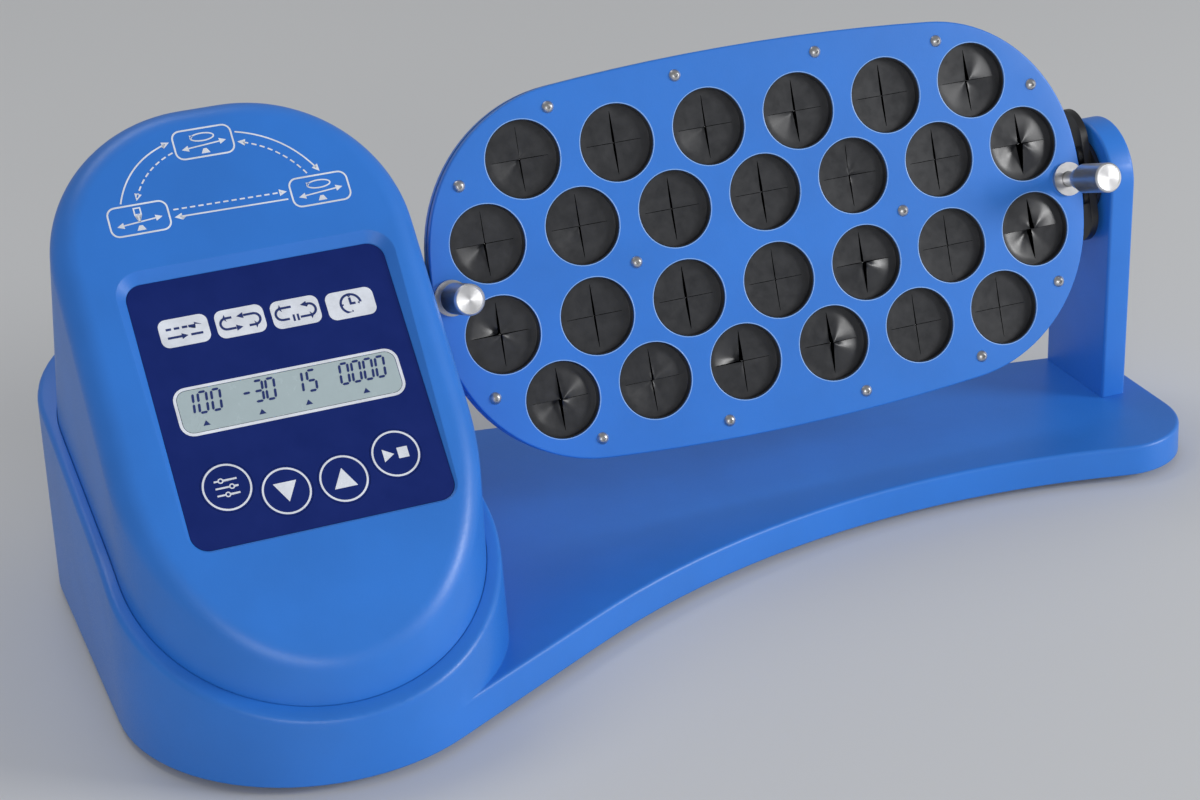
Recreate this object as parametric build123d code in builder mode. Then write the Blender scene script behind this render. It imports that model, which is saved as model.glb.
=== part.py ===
from build123d import *
from math import acos, atan, atan2, cos, degrees, hypot, pi, radians, sin, sqrt, tan
import os

os.makedirs("parts", exist_ok=True)

# A bench rotator for tubes. Millimetres, +Z up, +X along the rotor's axis from the
# drive housing to the end post, +Y to the back. The origin is on the table, below
# the middle of the base.

# Base
base_length = 365.0
base_thickness = 10.0
foot_height = 2.5
base_wall = 3.0
edge_round = 2.0
deck_round = 1.2
back_edge_y = 91.0
back_edge_slope = 0.184
sweep_radius = 264.1
sweep_center = (84.1, -291.1)
front_corner_radius = 24.0
end_corner_radius = 10.0
back_corner_radius = 47.0
rim_corner_radius = 26.0
cover_thickness = 1.2
rib_thickness = 2.0

# Drive housing
nose_radius = 57.5
nose_y = -39.5
rim_draft = 1.5
ledge_width = 5.2
ledge_knee_y = -35.3
ledge_knee_z = 48.3
ledge_back_slope = 0.20
ledge_front_slope = 0.43
ledge_knee_radius = 120.0
rim_gap = 0.15
shell_wall = 4.0
shell_edge_radius = 8.0
screw_post_height = 26.0

# Sloping face: distances along it are measured from its foot line
face_slope = 45.0
face_foot_y = -87.0
face_foot_z = 41.6
face_top = 168.0
face_run_on = 80.0
back_lean = 27.1
housing_height = 170.0
housing_reach = 260.0
face_corner_radius = 46.5

# Rotor
axis_y = 18.0
axis_z = 87.6
lean = 19.3
platform_x = 46.4
platform_half_length = 112.0
platform_half_height = 60.7
platform_corner_radius = 50.6
platform_corner_center = (60.8, 7.4)
platform_front = 10.0
plate_thickness = 2.5
sheet_thickness = 1.5
hole_radius = 12.0
hole_pitch = 30.8
platform_edge = 0.6
sheet_inset = 0.3
slit_length = 18.0
slit_width = 0.35
inner_row = 14.0
outer_row = 37.2

end_plate_length = 44.0
end_plate_width = 20.0
end_plate_thickness = 2.5
end_plate_bolt_circle = 9.6
lug_length = 20.0
lug_width = 18.0
lug_thickness = 7.0
lug_corner = 4.0
hub_radius = 13.0
hub_thread_depth = 1.3

# Thumb screws
thumb_u = 106.7
thumb_washer_radius = 5.5
thumb_washer_thickness = 1.2
thumb_head_radius = 4.75
thumb_head_length = 15.0
thumb_neck_radius = 3.4
thumb_neck_length = 3.6
thumb_edge = 0.6
thumb_stud_radius = 2.5
thumb_stud_length = 28.0
thumb_stud_inside = 7.2
thumb_right_turned_out = 6.2

# End post
post_inner_x = 164.8
post_thickness = 8.8
post_radius = 18.0
post_edge = 1.0
post_bush_depth = 7.0
post_bush_radius = 7.0
post_screw_radius = 2.5
post_screw_head_radius = 4.5
post_screw_head_height = 3.0
post_screw_reach = 14.0
post_screw_spread = 20.0

# Drive
shaft_radius = 4.0
shaft_edge = 0.3
idler_length = 6.7
shaft_inner_end = -118.0
frame_left = -112.0
frame_right = -78.5
frame_sheet = 2.0
frame_screw_bite = 7.0
frame_front = -4.0
frame_back = 40.0
frame_top = 101.0
frame_front_cut = (10.0, 10.0)
frame_back_cut = (17.5, 34.0)
bearing_radius = 8.0
bearing_length = 6.0
bearing_flange_radius = 9.0
bearing_flange = 1.0
collar_radius = 7.5
collar_length = 6.0
gear_module = 1.0
gear_teeth = 42
pinion_teeth = 14
gear_width = 6.0
pinion_width = 8.0
gear_x = -96.0
gear_hub_radius = 8.0
gear_hub_length = 5.2
gear_web_circle = 14.0
gear_web_hole = 3.2
backlash = 0.12
tip_clearance = 0.25
pressure_angle = 20.0
flank_steps = 4
motor_radius = 17.0
motor_length = 42.0
motor_boss_radius = 5.0
motor_boss_height = 3.0
motor_shaft_radius = 2.0
motor_shaft_inside = 10.0
motor_terminal = (5.0, 1.2, 7.0)
motor_screw_circle = 12.0
motor_screw_length = 5.0
motor_edge = 1.0

# Control panel
panel_shift = 2.6
panel_width = 75.0
panel_height = 80.5
panel_corner = 5.0
panel_thickness = 1.2
panel_foot = 31.7
panel_depth_low = 0.5
panel_depth_high = 2.5
panel_rim_angle = 50.0
pad_thickness = 2.2
pad_margin = 4.0
window_width = 63.0
window_height = 14.0
window_corner = 3.0
window_v = 0.2
window_ledge = 1.0
key_radius = 7.3
key_thickness = 1.0
key_travel = 0.5
key_stem_radius = 2.5
key_places = ((-24.2, -23.5), (-8.6, -28.1), (7.7, -28.1), (23.8, -24.1))
board_depth = 11.2
board_thickness = 1.6
board_width = 70.0
board_height = 76.0
board_boss_radius = 3.0
tact_size = 6.0
tact_height = 3.5
tact_button_radius = 1.7
tact_button_height = 1.5
display_width = 68.0
display_height = 22.0

# Back of the housing
socket_panel_x = -108.0
socket_panel_z = 32.0
socket_panel_width = 39.0
socket_panel_height = 26.0
socket_panel_depth = 1.0
socket_shift = 12.0
socket_radius = 4.0
socket_flange_radius = 5.6
socket_flange = 1.5
socket_bore_radius = 3.2
socket_bore_depth = 9.0
socket_pin_radius = 1.0
socket_body_length = 15.0
socket_nut_thickness = 2.0
switch_shift = -7.5
switch_width = 21.0
switch_height = 15.0
switch_flange = 1.5
switch_body_width = 19.0
switch_body_height = 13.0
switch_body_depth = 14.0
switch_wall = 1.8
switch_pocket_depth = 9.0
rocker_gap = 0.2
rocker_swing = 8.0
rocker_pivot_depth = 2.0
rocker_pin_radius = 1.0
rocker_pin_length = 0.8
rocker_rise = 1.0
rocker_height = 4.5
terminal_length = 6.0
terminal_width = 4.8
terminal_thickness = 0.8

# Fasteners and fits
running_gap = 0.03
slip_gap = 0.1
loose_gap = 0.3
screw_radius = 1.5
head_radius = 2.8
head_height = 1.65
head_edge = 0.35
clamp_screw_radius = 1.0
clamp_head_radius = 1.9
clamp_head_height = 1.2
hex_key_radius = 0.75
hex_key_depth = 0.7
nut_width = 4.0
nut_height = 1.6
boss_radius = 3.5
foot_radius = 8.0
foot_stud_radius = 2.0
foot_stud_length = 2.2
foot_edge = 0.8

# Derived places
base_top = foot_height + base_thickness
base_end = base_length / 2
housing_x = nose_radius - base_end
back_angle = degrees(atan(back_edge_slope))
platform_back = platform_front - 2 * plate_thickness - sheet_thickness
clamp_hole_radius = clamp_screw_radius + slip_gap


def on_circle(center, radius, angle):
    return (center[0] + radius * cos(radians(angle)), center[1] + radius * sin(radians(angle)))


def arc_between(center, radius, start, end):
    return ThreePointArc(
        on_circle(center, radius, start),
        on_circle(center, radius, (start + end) / 2),
        on_circle(center, radius, end),
    )


def back_corner(x, radius):
    # centre of a rounded corner that touches the slanting back edge
    edge_y = back_edge_y - back_edge_slope * (x - housing_x)
    return (x, edge_y - radius / cos(radians(back_angle)))


def base_outline(inset):
    # the whole footprint: round nose, hollow front sweep, square end, slanting back
    nose = (housing_x, nose_y)
    nose_r = nose_radius - inset
    sweep_r = sweep_radius + inset
    apart = hypot(sweep_center[0] - nose[0], sweep_center[1] - nose[1])
    toward = degrees(atan2(sweep_center[1] - nose[1], sweep_center[0] - nose[0]))
    leave = toward - degrees(acos((nose_r + sweep_r) / apart))
    front_x = base_end - front_corner_radius
    reach = sweep_radius + front_corner_radius
    front = (front_x, sweep_center[1] + sqrt(reach**2 - (front_x - sweep_center[0]) ** 2))
    front_angle = degrees(atan2(front[1] - sweep_center[1], front[0] - sweep_center[0]))
    front_r = front_corner_radius - inset
    end = back_corner(base_end - end_corner_radius, end_corner_radius)
    end_r = end_corner_radius - inset
    back = back_corner(housing_x - nose_radius + back_corner_radius, back_corner_radius)
    back_r = back_corner_radius - inset
    normal = 90 - back_angle
    with BuildLine() as path:
        arc_between(nose, nose_r, 180, 360 + leave)
        Line(on_circle(nose, nose_r, leave), on_circle(sweep_center, sweep_r, leave + 180))
        arc_between(sweep_center, sweep_r, leave + 180, front_angle)
        arc_between(front, front_r, front_angle - 180, 0)
        Line((front[0] + front_r, front[1]), (end[0] + end_r, end[1]))
        arc_between(end, end_r, 0, normal)
        Line(on_circle(end, end_r, normal), on_circle(back, back_r, normal))
        arc_between(back, back_r, normal, 180)
        Line((back[0] - back_r, back[1]), (nose[0] - nose_r, nose[1]))
    make_face(path.edges())


def housing_outline(inset, corner_radius=back_corner_radius):
    # the drive housing's own footprint, a round nose with a slanting back
    nose = (housing_x, nose_y)
    nose_r = nose_radius - inset
    left = back_corner(housing_x - nose_radius + corner_radius, corner_radius)
    right = back_corner(housing_x + nose_radius - rim_corner_radius, rim_corner_radius)
    left_r = corner_radius - inset
    right_r = rim_corner_radius - inset
    normal = 90 - back_angle
    with BuildLine() as path:
        arc_between(nose, nose_r, 180, 270)
        arc_between(nose, nose_r, 270, 360)
        Line((nose[0] + nose_r, nose[1]), (right[0] + right_r, right[1]))
        arc_between(right, right_r, 0, normal)
        Line(on_circle(right, right_r, normal), on_circle(left, left_r, normal))
        arc_between(left, left_r, normal, 180)
        Line((left[0] - left_r, left[1]), (nose[0] - nose_r, nose[1]))
    make_face(path.edges())


def face_outline(inset):
    # the sloping face: straight sides and a flattened arch, running on below the foot
    half = nose_radius - ledge_width - inset
    shoulder = nose_radius - ledge_width - face_corner_radius
    corner_r = face_corner_radius - inset
    arch = face_top - face_corner_radius
    with BuildLine() as path:
        Line((-half, -face_run_on), (half, -face_run_on))
        Line((half, -face_run_on), (half, arch))
        arc_between((shoulder, arch), corner_r, 0, 90)
        Line((shoulder, arch + corner_r), (-shoulder, arch + corner_r))
        arc_between((-shoulder, arch), corner_r, 90, 180)
        Line((-half, arch), (-half, -face_run_on))
    make_face(path.edges())


face_plane = Plane(
    origin=(housing_x, face_foot_y, face_foot_z),
    x_dir=(1, 0, 0),
    z_dir=(0, -sin(radians(face_slope)), cos(radians(face_slope))),
)
back_fall = Vector(0, sin(radians(back_lean)), -cos(radians(back_lean)))


def housing_form(inset, depth):
    # upright walls, cut off by the sloping face and by the arched back that leans out
    with BuildSketch(Plane.XY.offset(base_top)) as foot:
        housing_outline(ledge_width + inset, rim_corner_radius)
    extrude(foot.sketch.face(), amount=housing_height)
    with BuildSketch(face_plane.offset(-depth)) as face:
        face_outline(inset)
    extrude(face.sketch.face(), amount=housing_reach, dir=back_fall, mode=Mode.INTERSECT)


def round_back_corner(inset):
    # the wide corner at the left of the back
    with BuildSketch(Plane.XY.offset(base_top)) as foot:
        housing_outline(ledge_width + inset)
    extrude(foot.sketch.face(), amount=housing_height, mode=Mode.INTERSECT)


def spun(*profile):
    # a turned piece from its half profile of radius and height, about local Z
    with BuildSketch(Plane.XZ) as half:
        with BuildLine() as path:
            Polyline(*profile, close=True)
        make_face(path.edges())
    revolve(half.sketch.face(), axis=Axis.Z)


def rod(radius, start, end, edge):
    spun(
        (0, start),
        (radius - edge, start),
        (radius, start + edge),
        (radius, end - edge),
        (radius - edge, end),
        (0, end),
    )


def cap_screw(shank, head, tall, length):
    # a plain screw: the head stands on the local plane, the shank runs down from it
    spun(
        (0, -length),
        (shank, -length),
        (shank, 0),
        (head, 0),
        (head, tall - head_edge),
        (head - head_edge, tall),
        (0, tall),
    )


def holes(plane, places, radius, depth):
    with BuildSketch(plane) as bores:
        with Locations(*places):
            Circle(radius)
    extrude(bores.sketch, amount=-depth, mode=Mode.SUBTRACT)


def spots(plane, places):
    return [plane * Location((x, y, 0)) for x, y in places]


def facing_down(height):
    return Plane(origin=(0, 0, height), x_dir=(1, 0, 0), z_dir=(0, 0, -1))


def seen_from_below(places):
    return [(x, -y) for x, y in places]


# Rotor frames. Front: local x along the axis, local y up the platform
rotor_plane = Plane(
    origin=(platform_x, axis_y, axis_z),
    x_dir=(1, 0, 0),
    z_dir=(0, -cos(radians(lean)), sin(radians(lean))),
)
# End: local x up the platform, local y towards its front
end_plane = Plane(
    origin=(0, axis_y, axis_z),
    x_dir=(0, sin(radians(lean)), cos(radians(lean))),
    z_dir=(1, 0, 0),
)
end_plane_inward = Plane(origin=end_plane.origin, x_dir=end_plane.x_dir, z_dir=(-1, 0, 0))
# Axle: local x is +Y, local y is +Z
axle_plane = Plane(origin=(0, axis_y, axis_z), x_dir=(0, 1, 0), z_dir=(1, 0, 0))
motor_drop = gear_module * (gear_teeth + pinion_teeth) / 2
motor_plane = Plane(origin=(0, axis_y, axis_z - motor_drop), x_dir=(0, 1, 0), z_dir=(1, 0, 0))

# Control panel frame: the panel sinks deeper into the sloping face towards its top
panel_tilt = degrees(atan((panel_depth_high - panel_depth_low) / panel_height))
panel_slope = radians(face_slope - panel_tilt)
panel_foot_point = face_plane.from_local_coords((panel_shift, panel_foot, -panel_depth_low))
panel_plane = Plane(
    origin=panel_foot_point + Vector(0, cos(panel_slope), sin(panel_slope)) * (panel_height / 2),
    x_dir=(1, 0, 0),
    z_dir=(0, -sin(panel_slope), cos(panel_slope)),
)
board_back = board_depth + board_thickness
board_back_plane = Plane(
    origin=panel_plane.offset(-board_back).origin, x_dir=(1, 0, 0), z_dir=-panel_plane.z_dir
)
board_corners = [
    (x * (board_width / 2 - board_boss_radius), y * (board_height / 2 - board_boss_radius))
    for x in (-1, 1)
    for y in (-1, 1)
]

# Connector panel frame: on the slanting back, local x towards the left end, local y up
back_normal = Vector(sin(radians(back_angle)), cos(radians(back_angle)), 0)
back_sunk = socket_panel_depth + (socket_panel_z - foot_height) * tan(radians(rim_draft))
rim_wall = ledge_width - rim_gap - back_sunk
socket_panel_y = back_edge_y - back_edge_slope * (socket_panel_x - housing_x)
back_plane = Plane(
    origin=Vector(socket_panel_x, socket_panel_y, socket_panel_z) - back_normal * back_sunk,
    x_dir=(-cos(radians(back_angle)), sin(radians(back_angle)), 0),
    z_dir=back_normal,
)
motor_screw_places = [(-motor_screw_circle, 0), (motor_screw_circle, 0)]
rocker_plane = Plane(
    origin=back_plane.from_local_coords((switch_shift, 0, switch_flange - rocker_pivot_depth)),
    x_dir=back_plane.x_dir,
    z_dir=(0, 0, -1),
)

# Places
tube_places = [
    (hole_pitch * (k - 3), side * inner_row) for k in range(7) for side in (-1, 1)
] + [(hole_pitch * (k - 2.5), side * outer_row) for k in range(6) for side in (-1, 1)]
clamp_screw_quarter = ((24.0, 54.4), (66.5, 51.4), (98.3, 32.5))
clamp_screw_places = [
    (x * side, y * end) for x, y in clamp_screw_quarter for side in (-1, 1) for end in (-1, 1)
] + [(side * 1.5 * hole_pitch, 0) for side in (-1, 1)]
thumb_places = [(-thumb_u, 0), (thumb_u, 0)]
end_bolt_places = [on_circle((0, 0), end_plate_bolt_circle, 45 + 90 * k) for k in range(4)]

deck = base_top - base_wall
rib_foot = foot_height + cover_thickness
rib_places = [(x, 0) for x in (-30.0, 10.0, 50.0, 90.0, 130.0)]
cover_screw_places = (
    (housing_x - 46.5, -35.0),
    (housing_x - 43.5, 55.0),
    (housing_x, -87.0),
    (housing_x + 30.0, 74.0),
    (-60.0, -55.0),
    (30.0, -20.0),
    (30.0, 52.0),
    (120.0, -18.0),
    (120.0, 34.0),
    (175.5, axis_y),
)
foot_places = (
    (0.0, 0.0),
    (-152.0, -48.0),
    (-152.0, 64.0),
    (164.0, -16.0),
    (160.0, 25.0),
)
housing_screw_places = (
    (housing_x - 44.5, 30.0),
    (housing_x + 44.5, 52.0),
    (housing_x - 32.0, -71.5),
    (housing_x + 32.0, -71.5),
)
frame_screw_places = [
    (x, y) for x in (frame_left + 7, frame_right - 7) for y in (frame_front + 6, frame_back - 6)
]
post_screw_places = [
    (post_inner_x + post_thickness / 2, axis_y + side * post_screw_spread / 2) for side in (-1, 1)
]
end_gap = head_height + loose_gap
left_plate_x = platform_x - platform_half_length - end_gap - end_plate_thickness
right_plate_x = platform_x + platform_half_length + end_gap + end_plate_thickness
drive_hub_start = frame_right + bearing_flange + loose_gap
idler_hub_end = post_inner_x - 2 * loose_gap


def platform_outline(inset):
    # a long rounded form with slightly bowed sides and ends, each arc tangent to the next
    cx, cy = platform_corner_center
    tall = platform_half_height - platform_corner_radius
    wide = platform_half_length - platform_corner_radius
    side_c = (cx**2 + cy**2 - tall**2) / (2 * (tall - cy))
    end_c = (cx**2 + cy**2 - wide**2) / (2 * (wide - cx))
    side_r = side_c + platform_half_height - inset
    end_r = end_c + platform_half_length - inset
    corner_r = platform_corner_radius - inset
    high = degrees(atan2(cy + side_c, cx))
    low = degrees(atan2(cy, cx + end_c))
    with BuildLine() as path:
        arc_between((-end_c, 0), end_r, -low, low)
        arc_between((cx, cy), corner_r, low, high)
        arc_between((0, -side_c), side_r, high, 180 - high)
        arc_between((-cx, cy), corner_r, 180 - high, 180 - low)
        arc_between((end_c, 0), end_r, 180 - low, 180 + low)
        arc_between((-cx, -cy), corner_r, 180 + low, 180 + high)
        arc_between((0, side_c), side_r, 180 + high, 360 - high)
        arc_between((cx, -cy), corner_r, 360 - high, 360 - low)
    make_face(path.edges())


def gear_outline(teeth, turned):
    # involute flanks, thinned by half the backlash, running down radially to the root
    pitch_r = gear_module * teeth / 2
    base_r = pitch_r * cos(radians(pressure_angle))
    tip_r = pitch_r + gear_module
    root_r = pitch_r - gear_module * (1 + tip_clearance)
    start_r = max(base_r, root_r)
    spread = tan(radians(pressure_angle)) - radians(pressure_angle)
    half_tooth = pi / (2 * teeth) - backlash / (4 * pitch_r)
    flank = [(root_r, half_tooth + spread)]
    for step in range(flank_steps + 1):
        r = start_r + (tip_r - start_r) * step / flank_steps
        roll = acos(min(base_r / r, 1))
        flank.append((r, half_tooth + spread - tan(roll) + roll))
    points = []
    for tooth in range(teeth):
        middle = radians(turned) + 2 * pi * tooth / teeth
        rising = [(r * cos(middle - a), r * sin(middle - a)) for r, a in flank]
        falling = [(r * cos(middle + a), r * sin(middle + a)) for r, a in reversed(flank)]
        points = points + rising + falling
    with BuildLine() as path:
        Polyline(*points, close=True)
    make_face(path.edges())


# Drive housing

with BuildPart() as shell_core:
    housing_form(shell_wall, shell_wall)
    round_back_corner(shell_wall)

with BuildPart() as shell_seat:
    housing_form(-rim_gap, -rim_gap)
    round_back_corner(-rim_gap)

with BuildPart() as upper_housing:
    housing_form(0, 0)
    sloping_face = upper_housing.faces().sort_by(Axis(face_plane.origin, face_plane.z_dir))[-1]
    fillet(sloping_face.edges(), shell_edge_radius)
    round_back_corner(0)
    add(shell_core.part, mode=Mode.SUBTRACT)
    # shelf behind the control panel, with posts for the board
    with BuildSketch(panel_plane.offset(-panel_thickness)):
        RectangleRounded(
            panel_width + 2 * pad_margin, panel_height + 2 * pad_margin, panel_corner + pad_margin
        )
    extrude(amount=-pad_thickness)
    with BuildSketch(panel_plane.offset(-panel_thickness - pad_thickness)):
        with Locations(*board_corners):
            Circle(board_boss_radius)
    extrude(amount=panel_thickness + pad_thickness - board_depth)
    holes(board_back_plane.offset(-board_thickness), board_corners, screw_radius, 5)
    # sunk seat for the panel, and the sloping rim round it that fades out at the foot
    with BuildSketch(panel_plane.offset(-panel_thickness)):
        RectangleRounded(panel_width + 2 * slip_gap, panel_height + 2 * slip_gap, panel_corner)
    extrude(amount=panel_thickness, mode=Mode.SUBTRACT)
    with BuildSketch(panel_plane):
        RectangleRounded(panel_width + 2 * slip_gap, panel_height + 2 * slip_gap, panel_corner)
    extrude(amount=2 * panel_depth_high, taper=-panel_rim_angle, mode=Mode.SUBTRACT)
    # display opening and key wells
    with BuildSketch(panel_plane.offset(-panel_thickness)):
        with Locations((0, window_v)):
            Rectangle(window_width - 2 * window_ledge, window_height - 2 * window_ledge)
    extrude(amount=-2 * pad_thickness, mode=Mode.SUBTRACT)
    holes(panel_plane, key_places, key_radius + slip_gap, key_thickness + key_travel + loose_gap)
    holes(panel_plane, key_places, key_stem_radius + loose_gap, board_depth / 2)
    # screw posts beside the walls
    with BuildSketch(Plane.XY.offset(base_top)):
        with Locations(*housing_screw_places):
            Circle(boss_radius + 1)
    extrude(amount=screw_post_height)
    holes(
        facing_down(base_top),
        seen_from_below(housing_screw_places),
        screw_radius,
        screw_post_height - shell_wall,
    )
    # way out for the drive hub
    with BuildSketch(axle_plane.offset(frame_right)):
        Circle(hub_radius + loose_gap)
    extrude(amount=housing_x + nose_radius - frame_right, mode=Mode.SUBTRACT)
    # notch behind the connector panel
    with BuildSketch(back_plane.offset(-switch_body_depth)):
        with Locations((0, (base_top - socket_panel_z) / 2)):
            Rectangle(socket_panel_width, socket_panel_height + socket_panel_z - base_top)
    extrude(amount=switch_body_depth, mode=Mode.SUBTRACT)

upper_housing.part.label = "upper_housing"
export_step(upper_housing.part, "parts/upper_housing.step")

with BuildPart() as housing_screw:
    cap_screw(screw_radius, head_radius, head_height, base_wall + screw_post_height / 2)

with BuildPart() as housing_screws:
    with Locations(*spots(facing_down(deck), seen_from_below(housing_screw_places))):
        add(housing_screw.part)

housing_screws.part.label = "housing_screws"
export_step(housing_screws.part, "parts/housing_screws.step")

# Base

with BuildPart() as base_ribs:
    with BuildSketch(Plane.XY.offset(rib_foot)):
        with Locations(*rib_places):
            Rectangle(rib_thickness, base_length)
        with Locations((base_end / 2, axis_y)):
            Rectangle(base_length, rib_thickness)
    extrude(amount=deck - rib_foot)
    with BuildSketch(Plane.XY.offset(rib_foot)):
        base_outline(base_wall / 2)
    extrude(amount=deck - rib_foot, mode=Mode.INTERSECT)

with BuildPart() as base_body:
    with BuildSketch(Plane.XY.offset(foot_height)):
        base_outline(0)
    extrude(amount=base_thickness, taper=rim_draft)
    fillet(base_body.faces().sort_by(Axis.Z)[-1].edges(), deck_round)
    with BuildSketch(Plane.XY.offset(foot_height)):
        housing_outline(0)
    extrude(amount=housing_height / 2, taper=rim_draft)
    # the rim round the housing is cut down to a ledge that falls towards the front
    with BuildSketch(Plane.YZ.offset(housing_x)) as above_ledge:
        with BuildLine():
            Polyline(
                (-base_length, ledge_knee_z - ledge_front_slope * (base_length + ledge_knee_y)),
                (ledge_knee_y, ledge_knee_z),
                (base_length, ledge_knee_z + ledge_back_slope * (base_length - ledge_knee_y)),
                (base_length, base_length),
                (-base_length, base_length),
                close=True,
            )
        make_face()
        knee = above_ledge.vertices().sort_by_distance((ledge_knee_y, ledge_knee_z, 0))[0]
        fillet(knee, ledge_knee_radius)
    extrude(amount=nose_radius + ledge_width, both=True, mode=Mode.SUBTRACT)
    raised = base_body.faces().filter_by(lambda face: face.center().Z > base_top + foot_height)
    ledge_faces = raised.filter_by(lambda face: face.normal_at().Z > 0.7)
    shared = [e for f in ledge_faces for e in f.edges()]
    rims = [e for e in shared if len([o for o in shared if o.is_same(e)]) == 1]
    fillet(rims, edge_round)
    add(shell_seat.part, mode=Mode.SUBTRACT)
    with BuildSketch(Plane.XY.offset(foot_height)):
        base_outline(base_wall)
    extrude(amount=deck - foot_height, mode=Mode.SUBTRACT)
    add(base_ribs.part)
    with BuildSketch(Plane.XY.offset(rib_foot)):
        with Locations(*cover_screw_places):
            Circle(boss_radius)
        with Locations(*frame_screw_places):
            Circle(boss_radius)
    extrude(amount=deck - rib_foot)
    holes(facing_down(rib_foot), seen_from_below(cover_screw_places), screw_radius, deck - rib_foot)
    holes(Plane.XY.offset(base_top), frame_screw_places, screw_radius, frame_screw_bite + loose_gap)
    holes(Plane.XY.offset(base_top), housing_screw_places, screw_radius + slip_gap, base_wall)
    holes(Plane.XY.offset(base_top), post_screw_places, post_screw_radius + slip_gap, base_wall)
    # sunk connector panel with holes for the socket and the switch
    with BuildSketch(back_plane):
        RectangleRounded(socket_panel_width, socket_panel_height, window_corner)
    extrude(amount=ledge_width, mode=Mode.SUBTRACT)
    holes(back_plane, [(socket_shift, 0)], socket_radius, ledge_width)
    with BuildSketch(back_plane):
        with Locations((switch_shift, 0)):
            Rectangle(switch_body_width, switch_body_height)
    extrude(amount=-ledge_width, mode=Mode.SUBTRACT)

base_body.part.label = "base_body"
export_step(base_body.part, "parts/base_body.step")

with BuildPart() as bottom_cover:
    with BuildSketch(Plane.XY.offset(foot_height)):
        base_outline(base_wall + loose_gap)
    extrude(amount=cover_thickness)
    holes(Plane.XY.offset(rib_foot), cover_screw_places, screw_radius + slip_gap, cover_thickness)
    holes(Plane.XY.offset(rib_foot), foot_places, foot_stud_radius, cover_thickness)

bottom_cover.part.label = "bottom_cover"
export_step(bottom_cover.part, "parts/bottom_cover.step")

with BuildPart() as cover_screw:
    cap_screw(screw_radius, head_radius, head_height, deck - foot_height - loose_gap)

with BuildPart() as cover_screws:
    with Locations(*spots(facing_down(foot_height), seen_from_below(cover_screw_places))):
        add(cover_screw.part)

cover_screws.part.label = "cover_screws"
export_step(cover_screws.part, "parts/cover_screws.step")

with BuildPart() as rubber_foot:
    spun(
        (0, 0),
        (foot_radius - foot_edge, 0),
        (foot_radius, foot_edge),
        (foot_radius, foot_height),
        (foot_stud_radius, foot_height),
        (foot_stud_radius, foot_height + foot_stud_length),
        (0, foot_height + foot_stud_length),
    )

with BuildPart() as rubber_feet:
    with Locations(*foot_places):
        add(rubber_foot.part)

rubber_feet.part.label = "rubber_feet"
export_step(rubber_feet.part, "parts/rubber_feet.step")

# Control panel

with BuildPart() as control_panel:
    with BuildSketch(panel_plane.offset(-panel_thickness)):
        RectangleRounded(panel_width, panel_height, panel_corner)
        with Locations((0, window_v)):
            RectangleRounded(window_width, window_height, window_corner, mode=Mode.SUBTRACT)
        with Locations(*key_places):
            Circle(key_radius + slip_gap, mode=Mode.SUBTRACT)
    extrude(amount=panel_thickness)

control_panel.part.label = "control_panel"
export_step(control_panel.part, "parts/control_panel.step")

with BuildPart() as display_window:
    with BuildSketch(panel_plane.offset(-panel_thickness)):
        with Locations((0, window_v)):
            RectangleRounded(window_width, window_height, window_corner)
    extrude(amount=panel_thickness)

display_window.part.label = "display_window"
export_step(display_window.part, "parts/display_window.step")

with BuildPart() as display_module:
    with BuildSketch(panel_plane.offset(-board_depth)):
        with Locations((0, window_v)):
            Rectangle(display_width, display_height)
    extrude(amount=board_depth - panel_thickness - pad_thickness - slip_gap)
    with BuildSketch(panel_plane.offset(-board_depth)):
        with Locations((0, window_v)):
            Rectangle(
                window_width - 2 * window_ledge - 2 * slip_gap,
                window_height - 2 * window_ledge - 2 * slip_gap,
            )
    extrude(amount=board_depth - panel_thickness - slip_gap)

display_module.part.label = "display_module"
export_step(display_module.part, "parts/display_module.step")

stem_end = board_depth - tact_height - tact_button_height - key_travel - slip_gap


def key(place):
    # a round key with the stem that presses the switch below it
    with BuildSketch(panel_plane.offset(-key_thickness)) as cap:
        with Locations(place):
            Circle(key_radius)
    extrude(cap.sketch, amount=key_thickness)
    with BuildSketch(panel_plane.offset(-stem_end)) as stem:
        with Locations(place):
            Circle(key_stem_radius)
    extrude(stem.sketch, amount=stem_end - key_thickness)


with BuildPart() as mode_key:
    key(key_places[0])

mode_key.part.label = "mode_key"
export_step(mode_key.part, "parts/mode_key.step")

with BuildPart() as down_key:
    key(key_places[1])

down_key.part.label = "down_key"
export_step(down_key.part, "parts/down_key.step")

with BuildPart() as up_key:
    key(key_places[2])

up_key.part.label = "up_key"
export_step(up_key.part, "parts/up_key.step")

with BuildPart() as start_key:
    key(key_places[3])

start_key.part.label = "start_key"
export_step(start_key.part, "parts/start_key.step")

with BuildPart() as key_switches:
    with BuildSketch(panel_plane.offset(-board_depth)):
        with Locations(*key_places):
            Rectangle(tact_size, tact_size)
    extrude(amount=tact_height)
    with BuildSketch(panel_plane.offset(tact_height - board_depth)):
        with Locations(*key_places):
            Circle(tact_button_radius)
    extrude(amount=tact_button_height)

key_switches.part.label = "key_switches"
export_step(key_switches.part, "parts/key_switches.step")

with BuildPart() as control_board:
    with BuildSketch(panel_plane.offset(-board_back)):
        Rectangle(board_width, board_height)
        with Locations(*board_corners):
            Circle(screw_radius + slip_gap, mode=Mode.SUBTRACT)
    extrude(amount=board_thickness)

control_board.part.label = "control_board"
export_step(control_board.part, "parts/control_board.step")

with BuildPart() as board_screw:
    cap_screw(screw_radius, head_radius, head_height, board_thickness + shell_wall)

with BuildPart() as board_screws:
    with Locations(*spots(board_back_plane, board_corners)):
        add(board_screw.part)

board_screws.part.label = "board_screws"
export_step(board_screws.part, "parts/board_screws.step")

# Drive

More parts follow.
